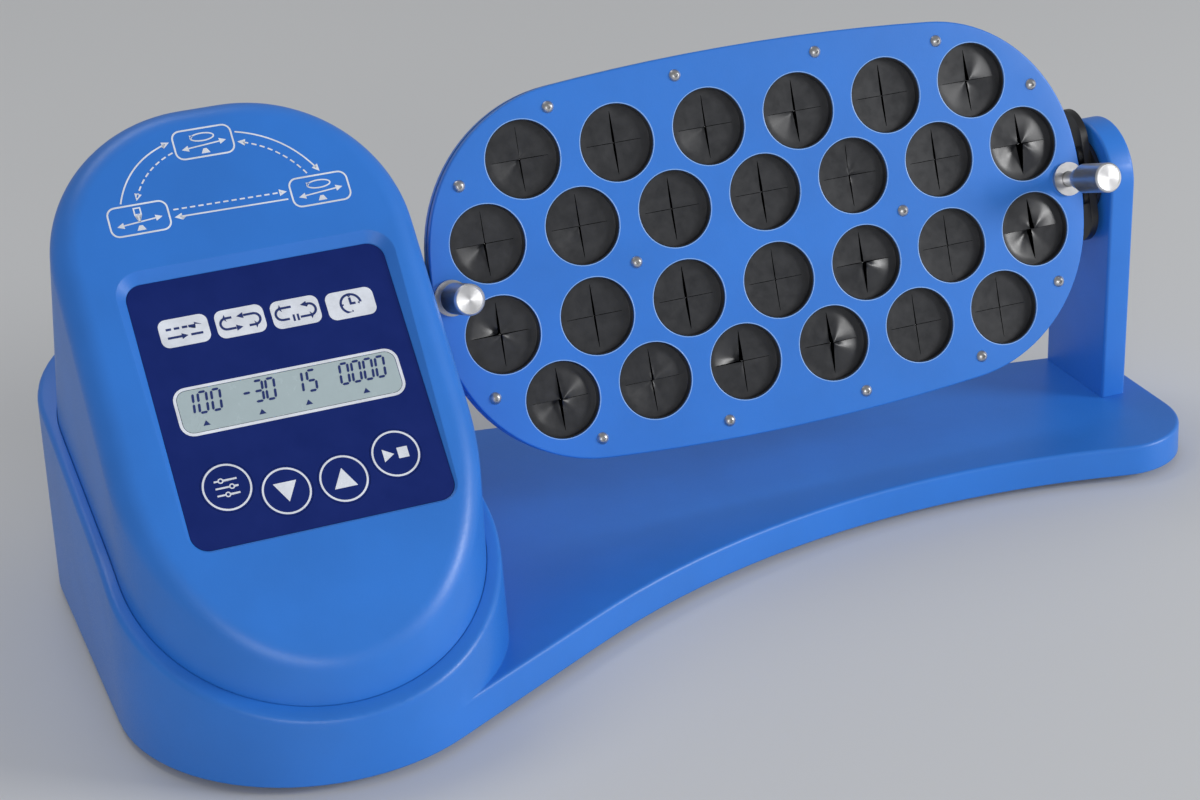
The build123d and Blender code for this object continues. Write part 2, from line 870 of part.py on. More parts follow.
with BuildPart() as drive_frame:
    with BuildSketch(Plane.XZ.offset(-frame_back)) as section:
        with BuildLine():
            Polyline(
                (frame_left, frame_top),
                (frame_left, base_top),
                (frame_right, base_top),
                (frame_right, frame_top),
                (frame_right - frame_sheet, frame_top),
                (frame_right - frame_sheet, base_top + frame_sheet),
                (frame_left + frame_sheet, base_top + frame_sheet),
                (frame_left + frame_sheet, frame_top),
                close=True,
            )
        make_face()
        fillet(section.vertices().group_by(Axis.Y)[0], 2 * frame_sheet)
        fillet(section.vertices().filter_by(lambda v: v.Y == base_top + frame_sheet), frame_sheet)
    extrude(amount=frame_back - frame_front)
    # upper corners cut away to clear the housing
    with BuildSketch(Plane.YZ.offset(frame_left)):
        with BuildLine():
            Polyline(
                (frame_front, frame_top),
                (frame_front + frame_front_cut[0], frame_top),
                (frame_front, frame_top - frame_front_cut[1]),
                close=True,
            )
        make_face()
        with BuildLine():
            Polyline(
                (frame_back, frame_top),
                (frame_back - frame_back_cut[0], frame_top),
                (frame_back, frame_top - frame_back_cut[1]),
                close=True,
            )
        make_face()
    extrude(amount=frame_right - frame_left, mode=Mode.SUBTRACT)
    holes(axle_plane.offset(frame_right), [(0, 0)], bearing_radius, frame_right - frame_left)
    left_motor_face = motor_plane.offset(frame_left + frame_sheet)
    holes(left_motor_face, [(0, 0)], motor_boss_radius, frame_sheet)
    holes(left_motor_face, motor_screw_places, screw_radius + slip_gap, frame_sheet)
    floor_plane = Plane.XY.offset(base_top + frame_sheet)
    holes(floor_plane, frame_screw_places, screw_radius + slip_gap, frame_sheet)

drive_frame.part.label = "drive_frame"
export_step(drive_frame.part, "parts/drive_frame.step")

with BuildPart() as frame_screw:
    cap_screw(screw_radius, head_radius, head_height, frame_sheet + frame_screw_bite)

with BuildPart() as frame_screws:
    with Locations(*spots(Plane.XY.offset(base_top + frame_sheet), frame_screw_places)):
        add(frame_screw.part)

frame_screws.part.label = "frame_screws"
export_step(frame_screws.part, "parts/frame_screws.step")

with BuildPart() as flanged_bearing:
    spun(
        (shaft_radius + running_gap, -bearing_length),
        (bearing_radius, -bearing_length),
        (bearing_radius, 0),
        (bearing_flange_radius, 0),
        (bearing_flange_radius, bearing_flange),
        (shaft_radius + running_gap, bearing_flange),
    )

left_bearing_plane = Plane(
    origin=(frame_left, axis_y, axis_z), x_dir=(0, 1, 0), z_dir=(-1, 0, 0)
)

with BuildPart() as shaft_bearings:
    with Locations(axle_plane.offset(frame_right), left_bearing_plane):
        add(flanged_bearing.part)

shaft_bearings.part.label = "shaft_bearings"
export_step(shaft_bearings.part, "parts/shaft_bearings.step")

with BuildPart() as shaft_blank:
    rod(shaft_radius, shaft_inner_end, left_plate_x, shaft_edge)

with BuildPart() as drive_shaft:
    with Locations(axle_plane):
        add(shaft_blank.part)

drive_shaft.part.label = "drive_shaft"
export_step(drive_shaft.part, "parts/drive_shaft.step")

with BuildPart() as shaft_collar:
    with BuildSketch(axle_plane.offset(frame_left + bearing_length + loose_gap)):
        Circle(collar_radius)
        Circle(shaft_radius, mode=Mode.SUBTRACT)
    extrude(amount=collar_length)

shaft_collar.part.label = "shaft_collar"
export_step(shaft_collar.part, "parts/shaft_collar.step")

with BuildPart() as drive_gear:
    with BuildSketch(axle_plane.offset(gear_x)):
        gear_outline(gear_teeth, -90)
        with PolarLocations(gear_web_circle, 5):
            Circle(gear_web_hole, mode=Mode.SUBTRACT)
    extrude(amount=gear_width)
    with BuildSketch(axle_plane.offset(gear_x)):
        Circle(gear_hub_radius)
    extrude(amount=gear_width + gear_hub_length)
    holes(axle_plane, [(0, 0)], shaft_radius, -2 * gear_x)

drive_gear.part.label = "drive_gear"
export_step(drive_gear.part, "parts/drive_gear.step")

with BuildPart() as motor_pinion:
    with BuildSketch(motor_plane.offset(gear_x + gear_width / 2 - pinion_width / 2)):
        gear_outline(pinion_teeth, 90 + 180 / pinion_teeth)
        Circle(motor_shaft_radius, mode=Mode.SUBTRACT)
    extrude(amount=pinion_width)

motor_pinion.part.label = "motor_pinion"
export_step(motor_pinion.part, "parts/motor_pinion.step")

motor_shaft_start = frame_left - motor_shaft_inside
motor_shaft_end = gear_x + gear_width / 2 + pinion_width / 2 + 1

with BuildPart() as motor_shaft:
    with BuildSketch(motor_plane.offset(motor_shaft_start)):
        Circle(motor_shaft_radius)
    extrude(amount=motor_shaft_end - motor_shaft_start)

motor_shaft.part.label = "motor_shaft"
export_step(motor_shaft.part, "parts/motor_shaft.step")

with BuildPart() as motor_blank:
    rod(motor_radius, frame_left - motor_length, frame_left, motor_edge)

with BuildPart() as drive_motor:
    with Locations(motor_plane):
        add(motor_blank.part)
    with BuildSketch(motor_plane.offset(frame_left)):
        Circle(motor_boss_radius)
    extrude(amount=motor_boss_height)
    with BuildSketch(motor_plane.offset(frame_left - motor_length)):
        Circle(motor_boss_radius)
    extrude(amount=-motor_edge)
    with BuildSketch(motor_plane.offset(frame_left - motor_length)):
        with Locations((0, motor_radius / 2 + 2), (0, -motor_radius / 2 - 2)):
            Rectangle(motor_terminal[0], motor_terminal[1])
    extrude(amount=-motor_terminal[2])
    boss_end = frame_left + motor_boss_height
    holes(
        motor_plane.offset(boss_end),
        [(0, 0)],
        motor_shaft_radius + running_gap,
        boss_end - motor_shaft_start + loose_gap,
    )
    holes(motor_plane.offset(frame_left), motor_screw_places, screw_radius, motor_screw_length)

drive_motor.part.label = "drive_motor"
export_step(drive_motor.part, "parts/drive_motor.step")

with BuildPart() as motor_screw:
    cap_screw(screw_radius, head_radius, head_height, frame_sheet + motor_screw_length - loose_gap)

with BuildPart() as motor_screws:
    with Locations(*spots(motor_plane.offset(frame_left + frame_sheet), motor_screw_places)):
        add(motor_screw.part)

motor_screws.part.label = "motor_screws"
export_step(motor_screws.part, "parts/motor_screws.step")

with BuildPart() as drive_hub:
    with BuildSketch(axle_plane.offset(drive_hub_start)):
        Circle(hub_radius)
        Circle(shaft_radius, mode=Mode.SUBTRACT)
    extrude(amount=left_plate_x - drive_hub_start)
    holes(end_plane.offset(left_plate_x), end_bolt_places, screw_radius, hub_thread_depth)

drive_hub.part.label = "drive_hub"
export_step(drive_hub.part, "parts/drive_hub.step")

# Rotor


def bracket(outer_x, inward):
    # an end plate with a tongue that reaches under the platform and takes the thumb screw
    face = end_plane.offset(outer_x)
    with BuildSketch(face) as plate:
        SlotOverall(end_plate_length, end_plate_width)
    extrude(plate.sketch, amount=inward * end_plate_thickness)
    with BuildSketch(face) as tongue:
        Rectangle(lug_width, lug_thickness)
    tongue_reach = end_plate_thickness + lug_length
    extrude(tongue.sketch, amount=inward * tongue_reach)
    holes(face, end_bolt_places, screw_radius + slip_gap, -inward * end_plate_thickness)
    holes(
        rotor_plane.offset(lug_thickness),
        thumb_places,
        thumb_stud_radius + 2 * running_gap,
        2 * lug_thickness,
    )


with BuildPart() as left_bracket:
    bracket(left_plate_x, 1)
    tips = left_bracket.edges().filter_by(Axis((0, 0, 0), rotor_plane.z_dir)).sort_by(Axis.X)
    fillet(tips[-2:], lug_corner)

left_bracket.part.label = "left_bracket"
export_step(left_bracket.part, "parts/left_bracket.step")

with BuildPart() as right_bracket:
    bracket(right_plate_x, -1)
    tips = right_bracket.edges().filter_by(Axis((0, 0, 0), rotor_plane.z_dir)).sort_by(Axis.X)
    fillet(tips[:2], lug_corner)

right_bracket.part.label = "right_bracket"
export_step(right_bracket.part, "parts/right_bracket.step")

with BuildPart() as bracket_screw:
    cap_screw(screw_radius, head_radius, head_height, end_plate_thickness + hub_thread_depth - loose_gap)

with BuildPart() as bracket_screws:
    with Locations(*spots(end_plane.offset(left_plate_x + end_plate_thickness), end_bolt_places)):
        add(bracket_screw.part)
    with Locations(*spots(end_plane_inward.offset(end_plate_thickness - right_plate_x), end_bolt_places)):
        add(bracket_screw.part)

bracket_screws.part.label = "bracket_screws"
export_step(bracket_screws.part, "parts/bracket_screws.step")

with BuildPart() as idler_hub:
    with BuildSketch(end_plane.offset(right_plate_x)):
        Circle(hub_radius)
    extrude(amount=idler_hub_end - right_plate_x)
    with BuildSketch(end_plane.offset(idler_hub_end)):
        Circle(shaft_radius)
    extrude(amount=post_inner_x + idler_length - idler_hub_end)
    holes(end_plane.offset(idler_hub_end), end_bolt_places, screw_radius, idler_hub_end - right_plate_x)

idler_hub.part.label = "idler_hub"
export_step(idler_hub.part, "parts/idler_hub.step")


def platform_plate(front):
    with BuildSketch(rotor_plane.offset(front)) as blank:
        platform_outline(0)
    extrude(blank.sketch.face(), amount=-plate_thickness)
    holes(rotor_plane.offset(front), tube_places, hole_radius, plate_thickness)
    holes(rotor_plane.offset(front), clamp_screw_places, clamp_hole_radius, plate_thickness)
    holes(rotor_plane.offset(front), thumb_places, thumb_stud_radius + loose_gap, plate_thickness)


with BuildPart() as platform_front_plate:
    platform_plate(platform_front)
    front_face = platform_front_plate.faces().sort_by(Axis(rotor_plane.origin, rotor_plane.z_dir))[-1]
    fillet(front_face.outer_wire().edges(), platform_edge)

platform_front_plate.part.label = "platform_front_plate"
export_step(platform_front_plate.part, "parts/platform_front_plate.step")

with BuildPart() as platform_rear_plate:
    platform_plate(platform_back + plate_thickness)
    rear_face = platform_rear_plate.faces().sort_by(Axis(rotor_plane.origin, rotor_plane.z_dir))[0]
    fillet(rear_face.outer_wire().edges(), platform_edge)

platform_rear_plate.part.label = "platform_rear_plate"
export_step(platform_rear_plate.part, "parts/platform_rear_plate.step")

with BuildPart() as rubber_sheet:
    with BuildSketch(rotor_plane.offset(platform_front - plate_thickness)):
        platform_outline(sheet_inset)
        with Locations(*tube_places):
            Rectangle(slit_width, slit_length, mode=Mode.SUBTRACT)
            Rectangle(slit_length, slit_width, mode=Mode.SUBTRACT)
        with Locations(*clamp_screw_places):
            Circle(clamp_hole_radius, mode=Mode.SUBTRACT)
        with Locations(*thumb_places):
            Circle(thumb_stud_radius + loose_gap, mode=Mode.SUBTRACT)
    extrude(amount=-sheet_thickness)

rubber_sheet.part.label = "rubber_sheet"
export_step(rubber_sheet.part, "parts/rubber_sheet.step")

clamp_stack = platform_front - platform_back + nut_height + slip_gap

with BuildPart() as button_screw:
    with BuildSketch(Plane.XZ):
        with BuildLine():
            Line((0, clamp_head_height), (0, -clamp_stack))
            Line((0, -clamp_stack), (clamp_screw_radius, -clamp_stack))
            Line((clamp_screw_radius, -clamp_stack), (clamp_screw_radius, 0))
            Line((clamp_screw_radius, 0), (clamp_head_radius, 0))
            Line((clamp_head_radius, 0), (clamp_head_radius, slip_gap))
            TangentArc((0, clamp_head_height), (clamp_head_radius, slip_gap), tangent=(1, 0))
        make_face()
    revolve(axis=Axis.Z)
    with BuildSketch(Plane.XY.offset(clamp_head_height)):
        RegularPolygon(hex_key_radius, 6)
    extrude(amount=-hex_key_depth, mode=Mode.SUBTRACT)

with BuildPart() as platform_screws:
    with Locations(*spots(rotor_plane.offset(platform_front), clamp_screw_places)):
        add(button_screw.part)

platform_screws.part.label = "platform_screws"
export_step(platform_screws.part, "parts/platform_screws.step")

with BuildPart() as platform_nuts:
    with BuildSketch(rotor_plane.offset(platform_back)):
        with Locations(*clamp_screw_places):
            RegularPolygon(nut_width / 2, 6, major_radius=False)
            Circle(clamp_screw_radius, mode=Mode.SUBTRACT)
    extrude(amount=-nut_height)

platform_nuts.part.label = "platform_nuts"
export_step(platform_nuts.part, "parts/platform_nuts.step")

# Thumb screws

with BuildPart() as thumb_washers:
    with BuildSketch(rotor_plane.offset(platform_front)):
        with Locations(*thumb_places):
            Circle(thumb_washer_radius)
            Circle(thumb_stud_radius + slip_gap, mode=Mode.SUBTRACT)
    extrude(amount=thumb_washer_thickness)

thumb_washers.part.label = "thumb_washers"
export_step(thumb_washers.part, "parts/thumb_washers.step")

thumb_seat = platform_front + thumb_washer_thickness
thumb_stud_end = thumb_seat + thumb_neck_length + thumb_stud_inside

with BuildPart() as thumb_stud:
    rod(thumb_stud_radius, thumb_stud_end - thumb_stud_length, thumb_stud_end, thumb_edge)

with BuildPart() as thumb_head:
    spun(
        (0, thumb_stud_end + slip_gap),
        (thumb_stud_radius + running_gap, thumb_stud_end + slip_gap),
        (thumb_stud_radius + running_gap, thumb_seat),
        (thumb_neck_radius, thumb_seat),
        (thumb_neck_radius, thumb_seat + thumb_neck_length),
        (thumb_head_radius - thumb_edge, thumb_seat + thumb_neck_length),
        (thumb_head_radius, thumb_seat + thumb_neck_length + thumb_edge),
        (thumb_head_radius, thumb_seat + thumb_neck_length + thumb_head_length - thumb_edge),
        (thumb_head_radius - thumb_edge, thumb_seat + thumb_neck_length + thumb_head_length),
        (0, thumb_seat + thumb_neck_length + thumb_head_length),
    )

with BuildPart() as left_thumb_stud:
    with Locations(*spots(rotor_plane, thumb_places[:1])):
        add(thumb_stud.part)

left_thumb_stud.part.label = "left_thumb_stud"
export_step(left_thumb_stud.part, "parts/left_thumb_stud.step")

with BuildPart() as left_thumb_head:
    with Locations(*spots(rotor_plane, thumb_places[:1])):
        add(thumb_head.part)

left_thumb_head.part.label = "left_thumb_head"
export_step(left_thumb_head.part, "parts/left_thumb_head.step")

with BuildPart() as right_thumb_stud:
    with Locations(*spots(rotor_plane.offset(thumb_right_turned_out), thumb_places[1:])):
        add(thumb_stud.part)

right_thumb_stud.part.label = "right_thumb_stud"
export_step(right_thumb_stud.part, "parts/right_thumb_stud.step")

with BuildPart() as right_thumb_head:
    with Locations(*spots(rotor_plane.offset(thumb_right_turned_out), thumb_places[1:])):
        add(thumb_head.part)

right_thumb_head.part.label = "right_thumb_head"
export_step(right_thumb_head.part, "parts/right_thumb_head.step")

# End post

with BuildPart() as end_post:
    with BuildSketch(axle_plane.offset(post_inner_x)):
        Circle(post_radius)
        with Locations((0, (base_top - axis_z) / 2)):
            Rectangle(2 * post_radius, axis_z - base_top)
    extrude(amount=post_thickness)
    arched = end_post.edges().filter_by(lambda e: e.center().Z > base_top + 1).filter_by(
        Axis.X, reverse=True
    )
    fillet(arched, post_edge)
    holes(axle_plane.offset(post_inner_x), [(0, 0)], post_bush_radius, -post_bush_depth)
    holes(
        facing_down(base_top),
        seen_from_below(post_screw_places),
        post_screw_radius,
        post_screw_reach - base_wall + loose_gap,
    )

end_post.part.label = "end_post"
export_step(end_post.part, "parts/end_post.step")

with BuildPart() as post_bush:
    with BuildSketch(axle_plane.offset(post_inner_x)):
        Circle(post_bush_radius)
        Circle(shaft_radius + running_gap, mode=Mode.SUBTRACT)
    extrude(amount=post_bush_depth)

post_bush.part.label = "post_bush"
export_step(post_bush.part, "parts/post_bush.step")

with BuildPart() as post_screw:
    cap_screw(post_screw_radius, post_screw_head_radius, post_screw_head_height, post_screw_reach)

with BuildPart() as post_screws:
    with Locations(*spots(facing_down(deck), seen_from_below(post_screw_places))):
        add(post_screw.part)

post_screws.part.label = "post_screws"
export_step(post_screws.part, "parts/post_screws.step")

# Connector panel

with BuildPart() as dc_socket:
    with BuildSketch(back_plane):
        with Locations((socket_shift, 0)):
            Circle(socket_flange_radius)
    extrude(amount=socket_flange)
    with BuildSketch(back_plane):
        with Locations((socket_shift, 0)):
            Circle(socket_radius)
    extrude(amount=-socket_body_length)
    holes(back_plane.offset(socket_flange), [(socket_shift, 0)], socket_bore_radius, socket_bore_depth)
    with BuildSketch(back_plane.offset(socket_flange - socket_bore_depth)):
        with Locations((socket_shift, 0)):
            Circle(socket_pin_radius)
    extrude(amount=socket_bore_depth - socket_flange)

dc_socket.part.label = "dc_socket"
export_step(dc_socket.part, "parts/dc_socket.step")

with BuildPart() as dc_socket_nut:
    with BuildSketch(back_plane.offset(-rim_wall)):
        with Locations((socket_shift, 0)):
            RegularPolygon(socket_flange_radius, 6, major_radius=False)
            Circle(socket_radius, mode=Mode.SUBTRACT)
    extrude(amount=-socket_nut_thickness)

dc_socket_nut.part.label = "dc_socket_nut"
export_step(dc_socket_nut.part, "parts/dc_socket_nut.step")

with BuildPart() as power_switch:
    with BuildSketch(back_plane):
        with Locations((switch_shift, 0)):
            RectangleRounded(switch_width, switch_height, switch_flange)
    extrude(amount=switch_flange)
    with BuildSketch(back_plane):
        with Locations((switch_shift, 0)):
            Rectangle(switch_body_width, switch_body_height)
    extrude(amount=-switch_body_depth)
    with BuildSketch(back_plane.offset(switch_flange)):
        with Locations((switch_shift, 0)):
            Rectangle(switch_body_width - 2 * switch_wall, switch_body_height - 2 * switch_wall)
    extrude(amount=-switch_pocket_depth, mode=Mode.SUBTRACT)
    with BuildSketch(rocker_plane):
        Circle(rocker_pin_radius + running_gap)
    pin_reach = switch_body_height / 2 - switch_wall + rocker_pin_length
    extrude(amount=pin_reach + slip_gap, both=True, mode=Mode.SUBTRACT)
    with BuildSketch(back_plane.offset(-switch_body_depth)):
        with Locations((switch_shift - terminal_width, 0), (switch_shift + terminal_width, 0)):
            Rectangle(terminal_thickness, terminal_width)
    extrude(amount=-terminal_length)

power_switch.part.label = "power_switch"
export_step(power_switch.part, "parts/power_switch.step")

rocker_half = switch_body_width / 2 - switch_wall - 2.5 * rocker_gap

with BuildPart() as power_rocker:
    with BuildSketch(rocker_plane.rotated((0, 0, rocker_swing))) as rocker_side:
        with BuildLine():
            Polyline(
                (0, rocker_rise),
                (rocker_half, rocker_rise + rocker_half * tan(radians(rocker_swing))),
                (rocker_half, 0),
                (rocker_half / 2, -rocker_height),
                (-rocker_half / 2, -rocker_height),
                (-rocker_half, 0),
                (-rocker_half, rocker_rise + rocker_half * tan(radians(rocker_swing))),
                close=True,
            )
        make_face()
    extrude(amount=switch_body_height / 2 - switch_wall - rocker_gap, both=True)
    with BuildSketch(rocker_plane):
        Circle(rocker_pin_radius)
    extrude(amount=pin_reach, both=True)

power_rocker.part.label = "power_rocker"
export_step(power_rocker.part, "parts/power_rocker.step")
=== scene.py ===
import bpy, bmesh, math
from mathutils import Matrix, Vector, noise


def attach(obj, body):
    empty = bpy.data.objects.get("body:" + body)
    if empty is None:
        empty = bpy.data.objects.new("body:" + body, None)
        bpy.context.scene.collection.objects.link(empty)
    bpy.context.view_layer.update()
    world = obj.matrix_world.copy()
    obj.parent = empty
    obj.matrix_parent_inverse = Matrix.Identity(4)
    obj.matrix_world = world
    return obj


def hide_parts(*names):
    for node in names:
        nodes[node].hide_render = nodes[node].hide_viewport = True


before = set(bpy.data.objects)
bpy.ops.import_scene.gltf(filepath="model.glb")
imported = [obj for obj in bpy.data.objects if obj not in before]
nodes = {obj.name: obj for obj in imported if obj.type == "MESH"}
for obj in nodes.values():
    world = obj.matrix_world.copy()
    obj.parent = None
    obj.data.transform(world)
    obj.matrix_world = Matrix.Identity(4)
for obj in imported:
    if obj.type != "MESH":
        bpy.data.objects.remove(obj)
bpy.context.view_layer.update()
scene = bpy.context.scene
mm = 0.001
print("frame loaded:", len(nodes), "nodes")

# ---- camera, at the photo's angle ----
camSet = {"place": (-0.26915, -0.66318, 0.38837), "lens": 76.07,
          "right": (0.92673845, -0.37335711, -0.04195612),
          "down": (-0.19566661, -0.38428974, -0.90223942),
          "ahead": (0.3207342, 0.84434937, -0.4291896)}


def makeCamera():
    cam = bpy.data.objects.new("camera", bpy.data.cameras.new("camera"))
    cam.data.lens = camSet["lens"]
    cam.data.sensor_width = 36
    cam.data.clip_start = 0.01
    right, down, ahead = (Vector(camSet[k]) for k in ("right", "down", "ahead"))
    turn = Matrix((right, -down, -ahead)).transposed()
    cam.matrix_world = Matrix.Translation(camSet["place"]) @ turn.to_4x4()
    scene.collection.objects.link(cam)
    scene.camera = cam


makeCamera()

# ---- floor, world and lamps ----
studio = {"backdrop": 0.90, "ambient": 0.31, "floor": (0.74, 0.75, 0.76), "floorSize": 6.0}


def makeWorld():
    world = bpy.data.worlds.new("studio")
    scene.world = world
    world.use_nodes = True
    tree = world.node_tree
    tree.nodes.clear()
    path = tree.nodes.new("ShaderNodeLightPath")
    seen = tree.nodes.new("ShaderNodeMath")
    seen.operation = "MAXIMUM"
    tree.links.new(path.outputs["Is Camera Ray"], seen.inputs[0])
    tree.links.new(path.outputs["Is Transmission Ray"], seen.inputs[1])
    pale = tree.nodes.new("ShaderNodeBackground")
    pale.inputs["Color"].default_value = (1, 1, 1, 1)
    pale.inputs["Strength"].default_value = studio["backdrop"]
    soft = tree.nodes.new("ShaderNodeBackground")
    soft.inputs["Color"].default_value = (0.97, 0.98, 1, 1)
    soft.inputs["Strength"].default_value = studio["ambient"]
    mix = tree.nodes.new("ShaderNodeMixShader")
    out = tree.nodes.new("ShaderNodeOutputWorld")
    tree.links.new(seen.outputs[0], mix.inputs[0])
    tree.links.new(soft.outputs[0], mix.inputs[1])
    tree.links.new(pale.outputs[0], mix.inputs[2])
    tree.links.new(mix.outputs[0], out.inputs["Surface"])


def makeLamp(name, place, target, size, power):
    lamp = bpy.data.lights.new(name, "AREA")
    lamp.shape = "RECTANGLE"
    lamp.size, lamp.size_y = size
    lamp.energy = power
    obj = bpy.data.objects.new(name, lamp)
    obj.location = place
    obj.rotation_euler = (Vector(target) - Vector(place)).to_track_quat("-Z", "Y").to_euler()
    scene.collection.objects.link(obj)


makeWorld()
# place, what it points at, size and power
lamps = {"keyLamp": ((1.5, -0.95, 0.62), (-0.05, 0, 0.08), (0.6, 0.6), 17.0),
         "fillLamp": ((-0.55, -1.65, 0.50), (-0.05, 0, 0.08), (1.0, 0.6), 7.5),
         "topLamp": ((-0.3, 0.7, 1.4), (0, 0, 0.06), (0.9, 0.5), 3.9)}
for name, (place, target, size, power) in lamps.items():
    makeLamp(name, place, target, size, power)

# ---- material helpers ----


def newMaterial(name, colour, roughness, metallic=0.0):
    mat = bpy.data.materials.new(name)
    mat.use_nodes = True
    shader = mat.node_tree.nodes["Principled BSDF"]
    shader.inputs["Base Color"].default_value = (*colour, 1)
    shader.inputs["Roughness"].default_value = roughness
    shader.inputs["Metallic"].default_value = metallic
    mat.diffuse_color = (*colour, 1)
    return mat, mat.node_tree, shader


def objectNoise(tree, size, detail=3.0, rough=0.55, place=(0, 0, 0), turn=(0, 0, 0), stretch=(1, 1, 1)):
    coords = tree.nodes.new("ShaderNodeTexCoord")
    mapping = tree.nodes.new("ShaderNodeMapping")
    mapping.inputs["Location"].default_value = place
    mapping.inputs["Rotation"].default_value = turn
    mapping.inputs["Scale"].default_value = stretch
    tex = tree.nodes.new("ShaderNodeTexNoise")
    tex.inputs["Scale"].default_value = 1 / size
    tex.inputs["Detail"].default_value = detail
    tex.inputs["Roughness"].default_value = rough
    tree.links.new(coords.outputs["Object"], mapping.inputs["Vector"])
    tree.links.new(mapping.outputs["Vector"], tex.inputs["Vector"])
    return tex.outputs["Fac"]


def spread(tree, source, low, high, start=0.3, stop=0.7):
    ramp = tree.nodes.new("ShaderNodeMapRange")
    ramp.inputs["From Min"].default_value = start
    ramp.inputs["From Max"].default_value = stop
    ramp.inputs["To Min"].default_value = low
    ramp.inputs["To Max"].default_value = high
    tree.links.new(source, ramp.inputs["Value"])
    return ramp.outputs["Result"]


def tintBetween(tree, source, dark, light, start=0.3, stop=0.7):
    ramp = tree.nodes.new("ShaderNodeValToRGB")
    ramp.color_ramp.elements[0].position = start
    ramp.color_ramp.elements[0].color = (*dark, 1)
    ramp.color_ramp.elements[1].position = stop
    ramp.color_ramp.elements[1].color = (*light, 1)
    tree.links.new(source, ramp.inputs["Fac"])
    return ramp.outputs["Color"]


def bumpFrom(tree, shader, source, strength, distance, under=None):
    bump = tree.nodes.new("ShaderNodeBump")
    bump.inputs["Strength"].default_value = strength
    bump.inputs["Distance"].default_value = distance
    tree.links.new(source, bump.inputs["Height"])
    if under:
        tree.links.new(under, bump.inputs["Normal"])
    tree.links.new(bump.outputs["Normal"], shader.inputs["Normal"])
    return bump.outputs["Normal"]


def shaded(colour, factor):
    return tuple(c * factor for c in colour)


# ---- finishes ----
paint = {"blue": (0.024, 0.200, 0.720), "grain": 0.00045, "rough": 0.38, "edge": 0.0005}


def makePaint(name, colour, rough):
    mat, tree, shader = newMaterial(name, colour, rough)
    grain = objectNoise(tree, paint["grain"], 2.5)
    cloud = objectNoise(tree, 0.035, 3)
    tree.links.new(tintBetween(tree, cloud, shaded(colour, 0.93), shaded(colour, 1.05)),
                   shader.inputs["Base Color"])
    tree.links.new(spread(tree, grain, rough - 0.05, rough + 0.10), shader.inputs["Roughness"])
    orange = objectNoise(tree, 0.0035, 2)
    # eased edges: the normal turns over half a millimetre at every corner
    edge = tree.nodes.new("ShaderNodeBevel")
    edge.samples = 4
    edge.inputs["Radius"].default_value = paint["edge"]
    first = bumpFrom(tree, shader, orange, 0.10, 0.00025, edge.outputs["Normal"])
    bumpFrom(tree, shader, grain, 0.32, 0.00006, first)
    shader.inputs["Coat Weight"].default_value = 0.12
    shader.inputs["Coat Roughness"].default_value = 0.25
    return mat


def makeMetal(name, colour, rough, grainSize, stretch, bump=0.15, vary=0.1):
    mat, tree, shader = newMaterial(name, colour, rough, 1.0)
    brush = objectNoise(tree, grainSize, 3, 0.6, stretch=stretch)
    cloud = objectNoise(tree, 0.012, 2)
    tree.links.new(tintBetween(tree, cloud, shaded(colour, 0.88), colour), shader.inputs["Base Color"])
    tree.links.new(spread(tree, brush, rough - vary, rough + vary), shader.inputs["Roughness"])
    bumpFrom(tree, shader, brush, bump, 0.00002)
    return mat


def makePlain(name, colour, rough, grainSize=0.0006, bump=0.2, depth=0.00004, blotch=0.13):
    # moulded plastic, rubber and print film: fine grain, faint wear in the gloss
    mat, tree, shader = newMaterial(name, colour, rough)
    grain = objectNoise(tree, grainSize, 3)
    wear = objectNoise(tree, 0.009, 4, 0.65)
    tree.links.new(tintBetween(tree, wear, shaded(colour, 1 - blotch), shaded(colour, 1 + blotch)),
                   shader.inputs["Base Color"])
    tree.links.new(spread(tree, wear, rough - 0.07, rough + 0.07), shader.inputs["Roughness"])
    bumpFrom(tree, shader, grain, bump, depth)
    return mat


def makeRubber():
    # satin rubber that takes a soft shine on its stretched folds
    mat, tree, shader = newMaterial("slitRubber", (0.021, 0.022, 0.025), 0.34)
    dust = objectNoise(tree, 0.004, 5, 0.7)
    skin = objectNoise(tree, 0.0005, 3)
    tree.links.new(tintBetween(tree, dust, (0.016, 0.017, 0.020), (0.025, 0.026, 0.030)),
                   shader.inputs["Base Color"])
    tree.links.new(spread(tree, dust, 0.28, 0.40), shader.inputs["Roughness"])
    bumpFrom(tree, shader, skin, 0.2, 0.00003)
    shader.inputs["Specular IOR Level"].default_value = 0.55
    return mat


def makeGlass():
    mat, tree, shader = newMaterial("clearWindow", (0.93, 0.96, 0.94), 0.06)
    shader.inputs["Transmission Weight"].default_value = 1.0
    shader.inputs["IOR"].default_value = 1.02
    haze = objectNoise(tree, 0.006, 4)
    tree.links.new(spread(tree, haze, 0.03, 0.10), shader.inputs["Roughness"])
    bumpFrom(tree, shader, haze, 0.04, 0.00004)
    return mat


bluePaint = makePaint("bluePaint", paint["blue"], paint["rough"])
blueShell = makePaint("blueShell", paint["blue"], paint["rough"] + 0.02)
panelFilm = makePlain("panelFilm", (0.0042, 0.0185, 0.160), 0.42, 0.0004, 0.12, 0.00003, 0.06)
panelFilm.node_tree.nodes["Principled BSDF"].inputs["Specular IOR Level"].default_value = 0.22
printWhite = makePlain("printWhite", (0.80, 0.84, 0.92), 0.5, 0.0005, 0.08, 0.00002)
lcdGlass = makePlain("lcdGlass", (0.45, 0.55, 0.58), 0.24, 0.002, 0.02, 0.00002, 0.03)
lcdInk = makePlain("lcdInk", (0.010, 0.028, 0.160), 0.45, 0.0006, 0.05, 0.00002)
steel = makeMetal("stainlessSteel", (0.58, 0.58, 0.59), 0.32, 0.0012, (1, 1, 1), 0.01, 0.03)
sheetZinc = makeMetal("zincSheet", (0.50, 0.51, 0.53), 0.34, 0.003, (6, 1, 1), 0.15)
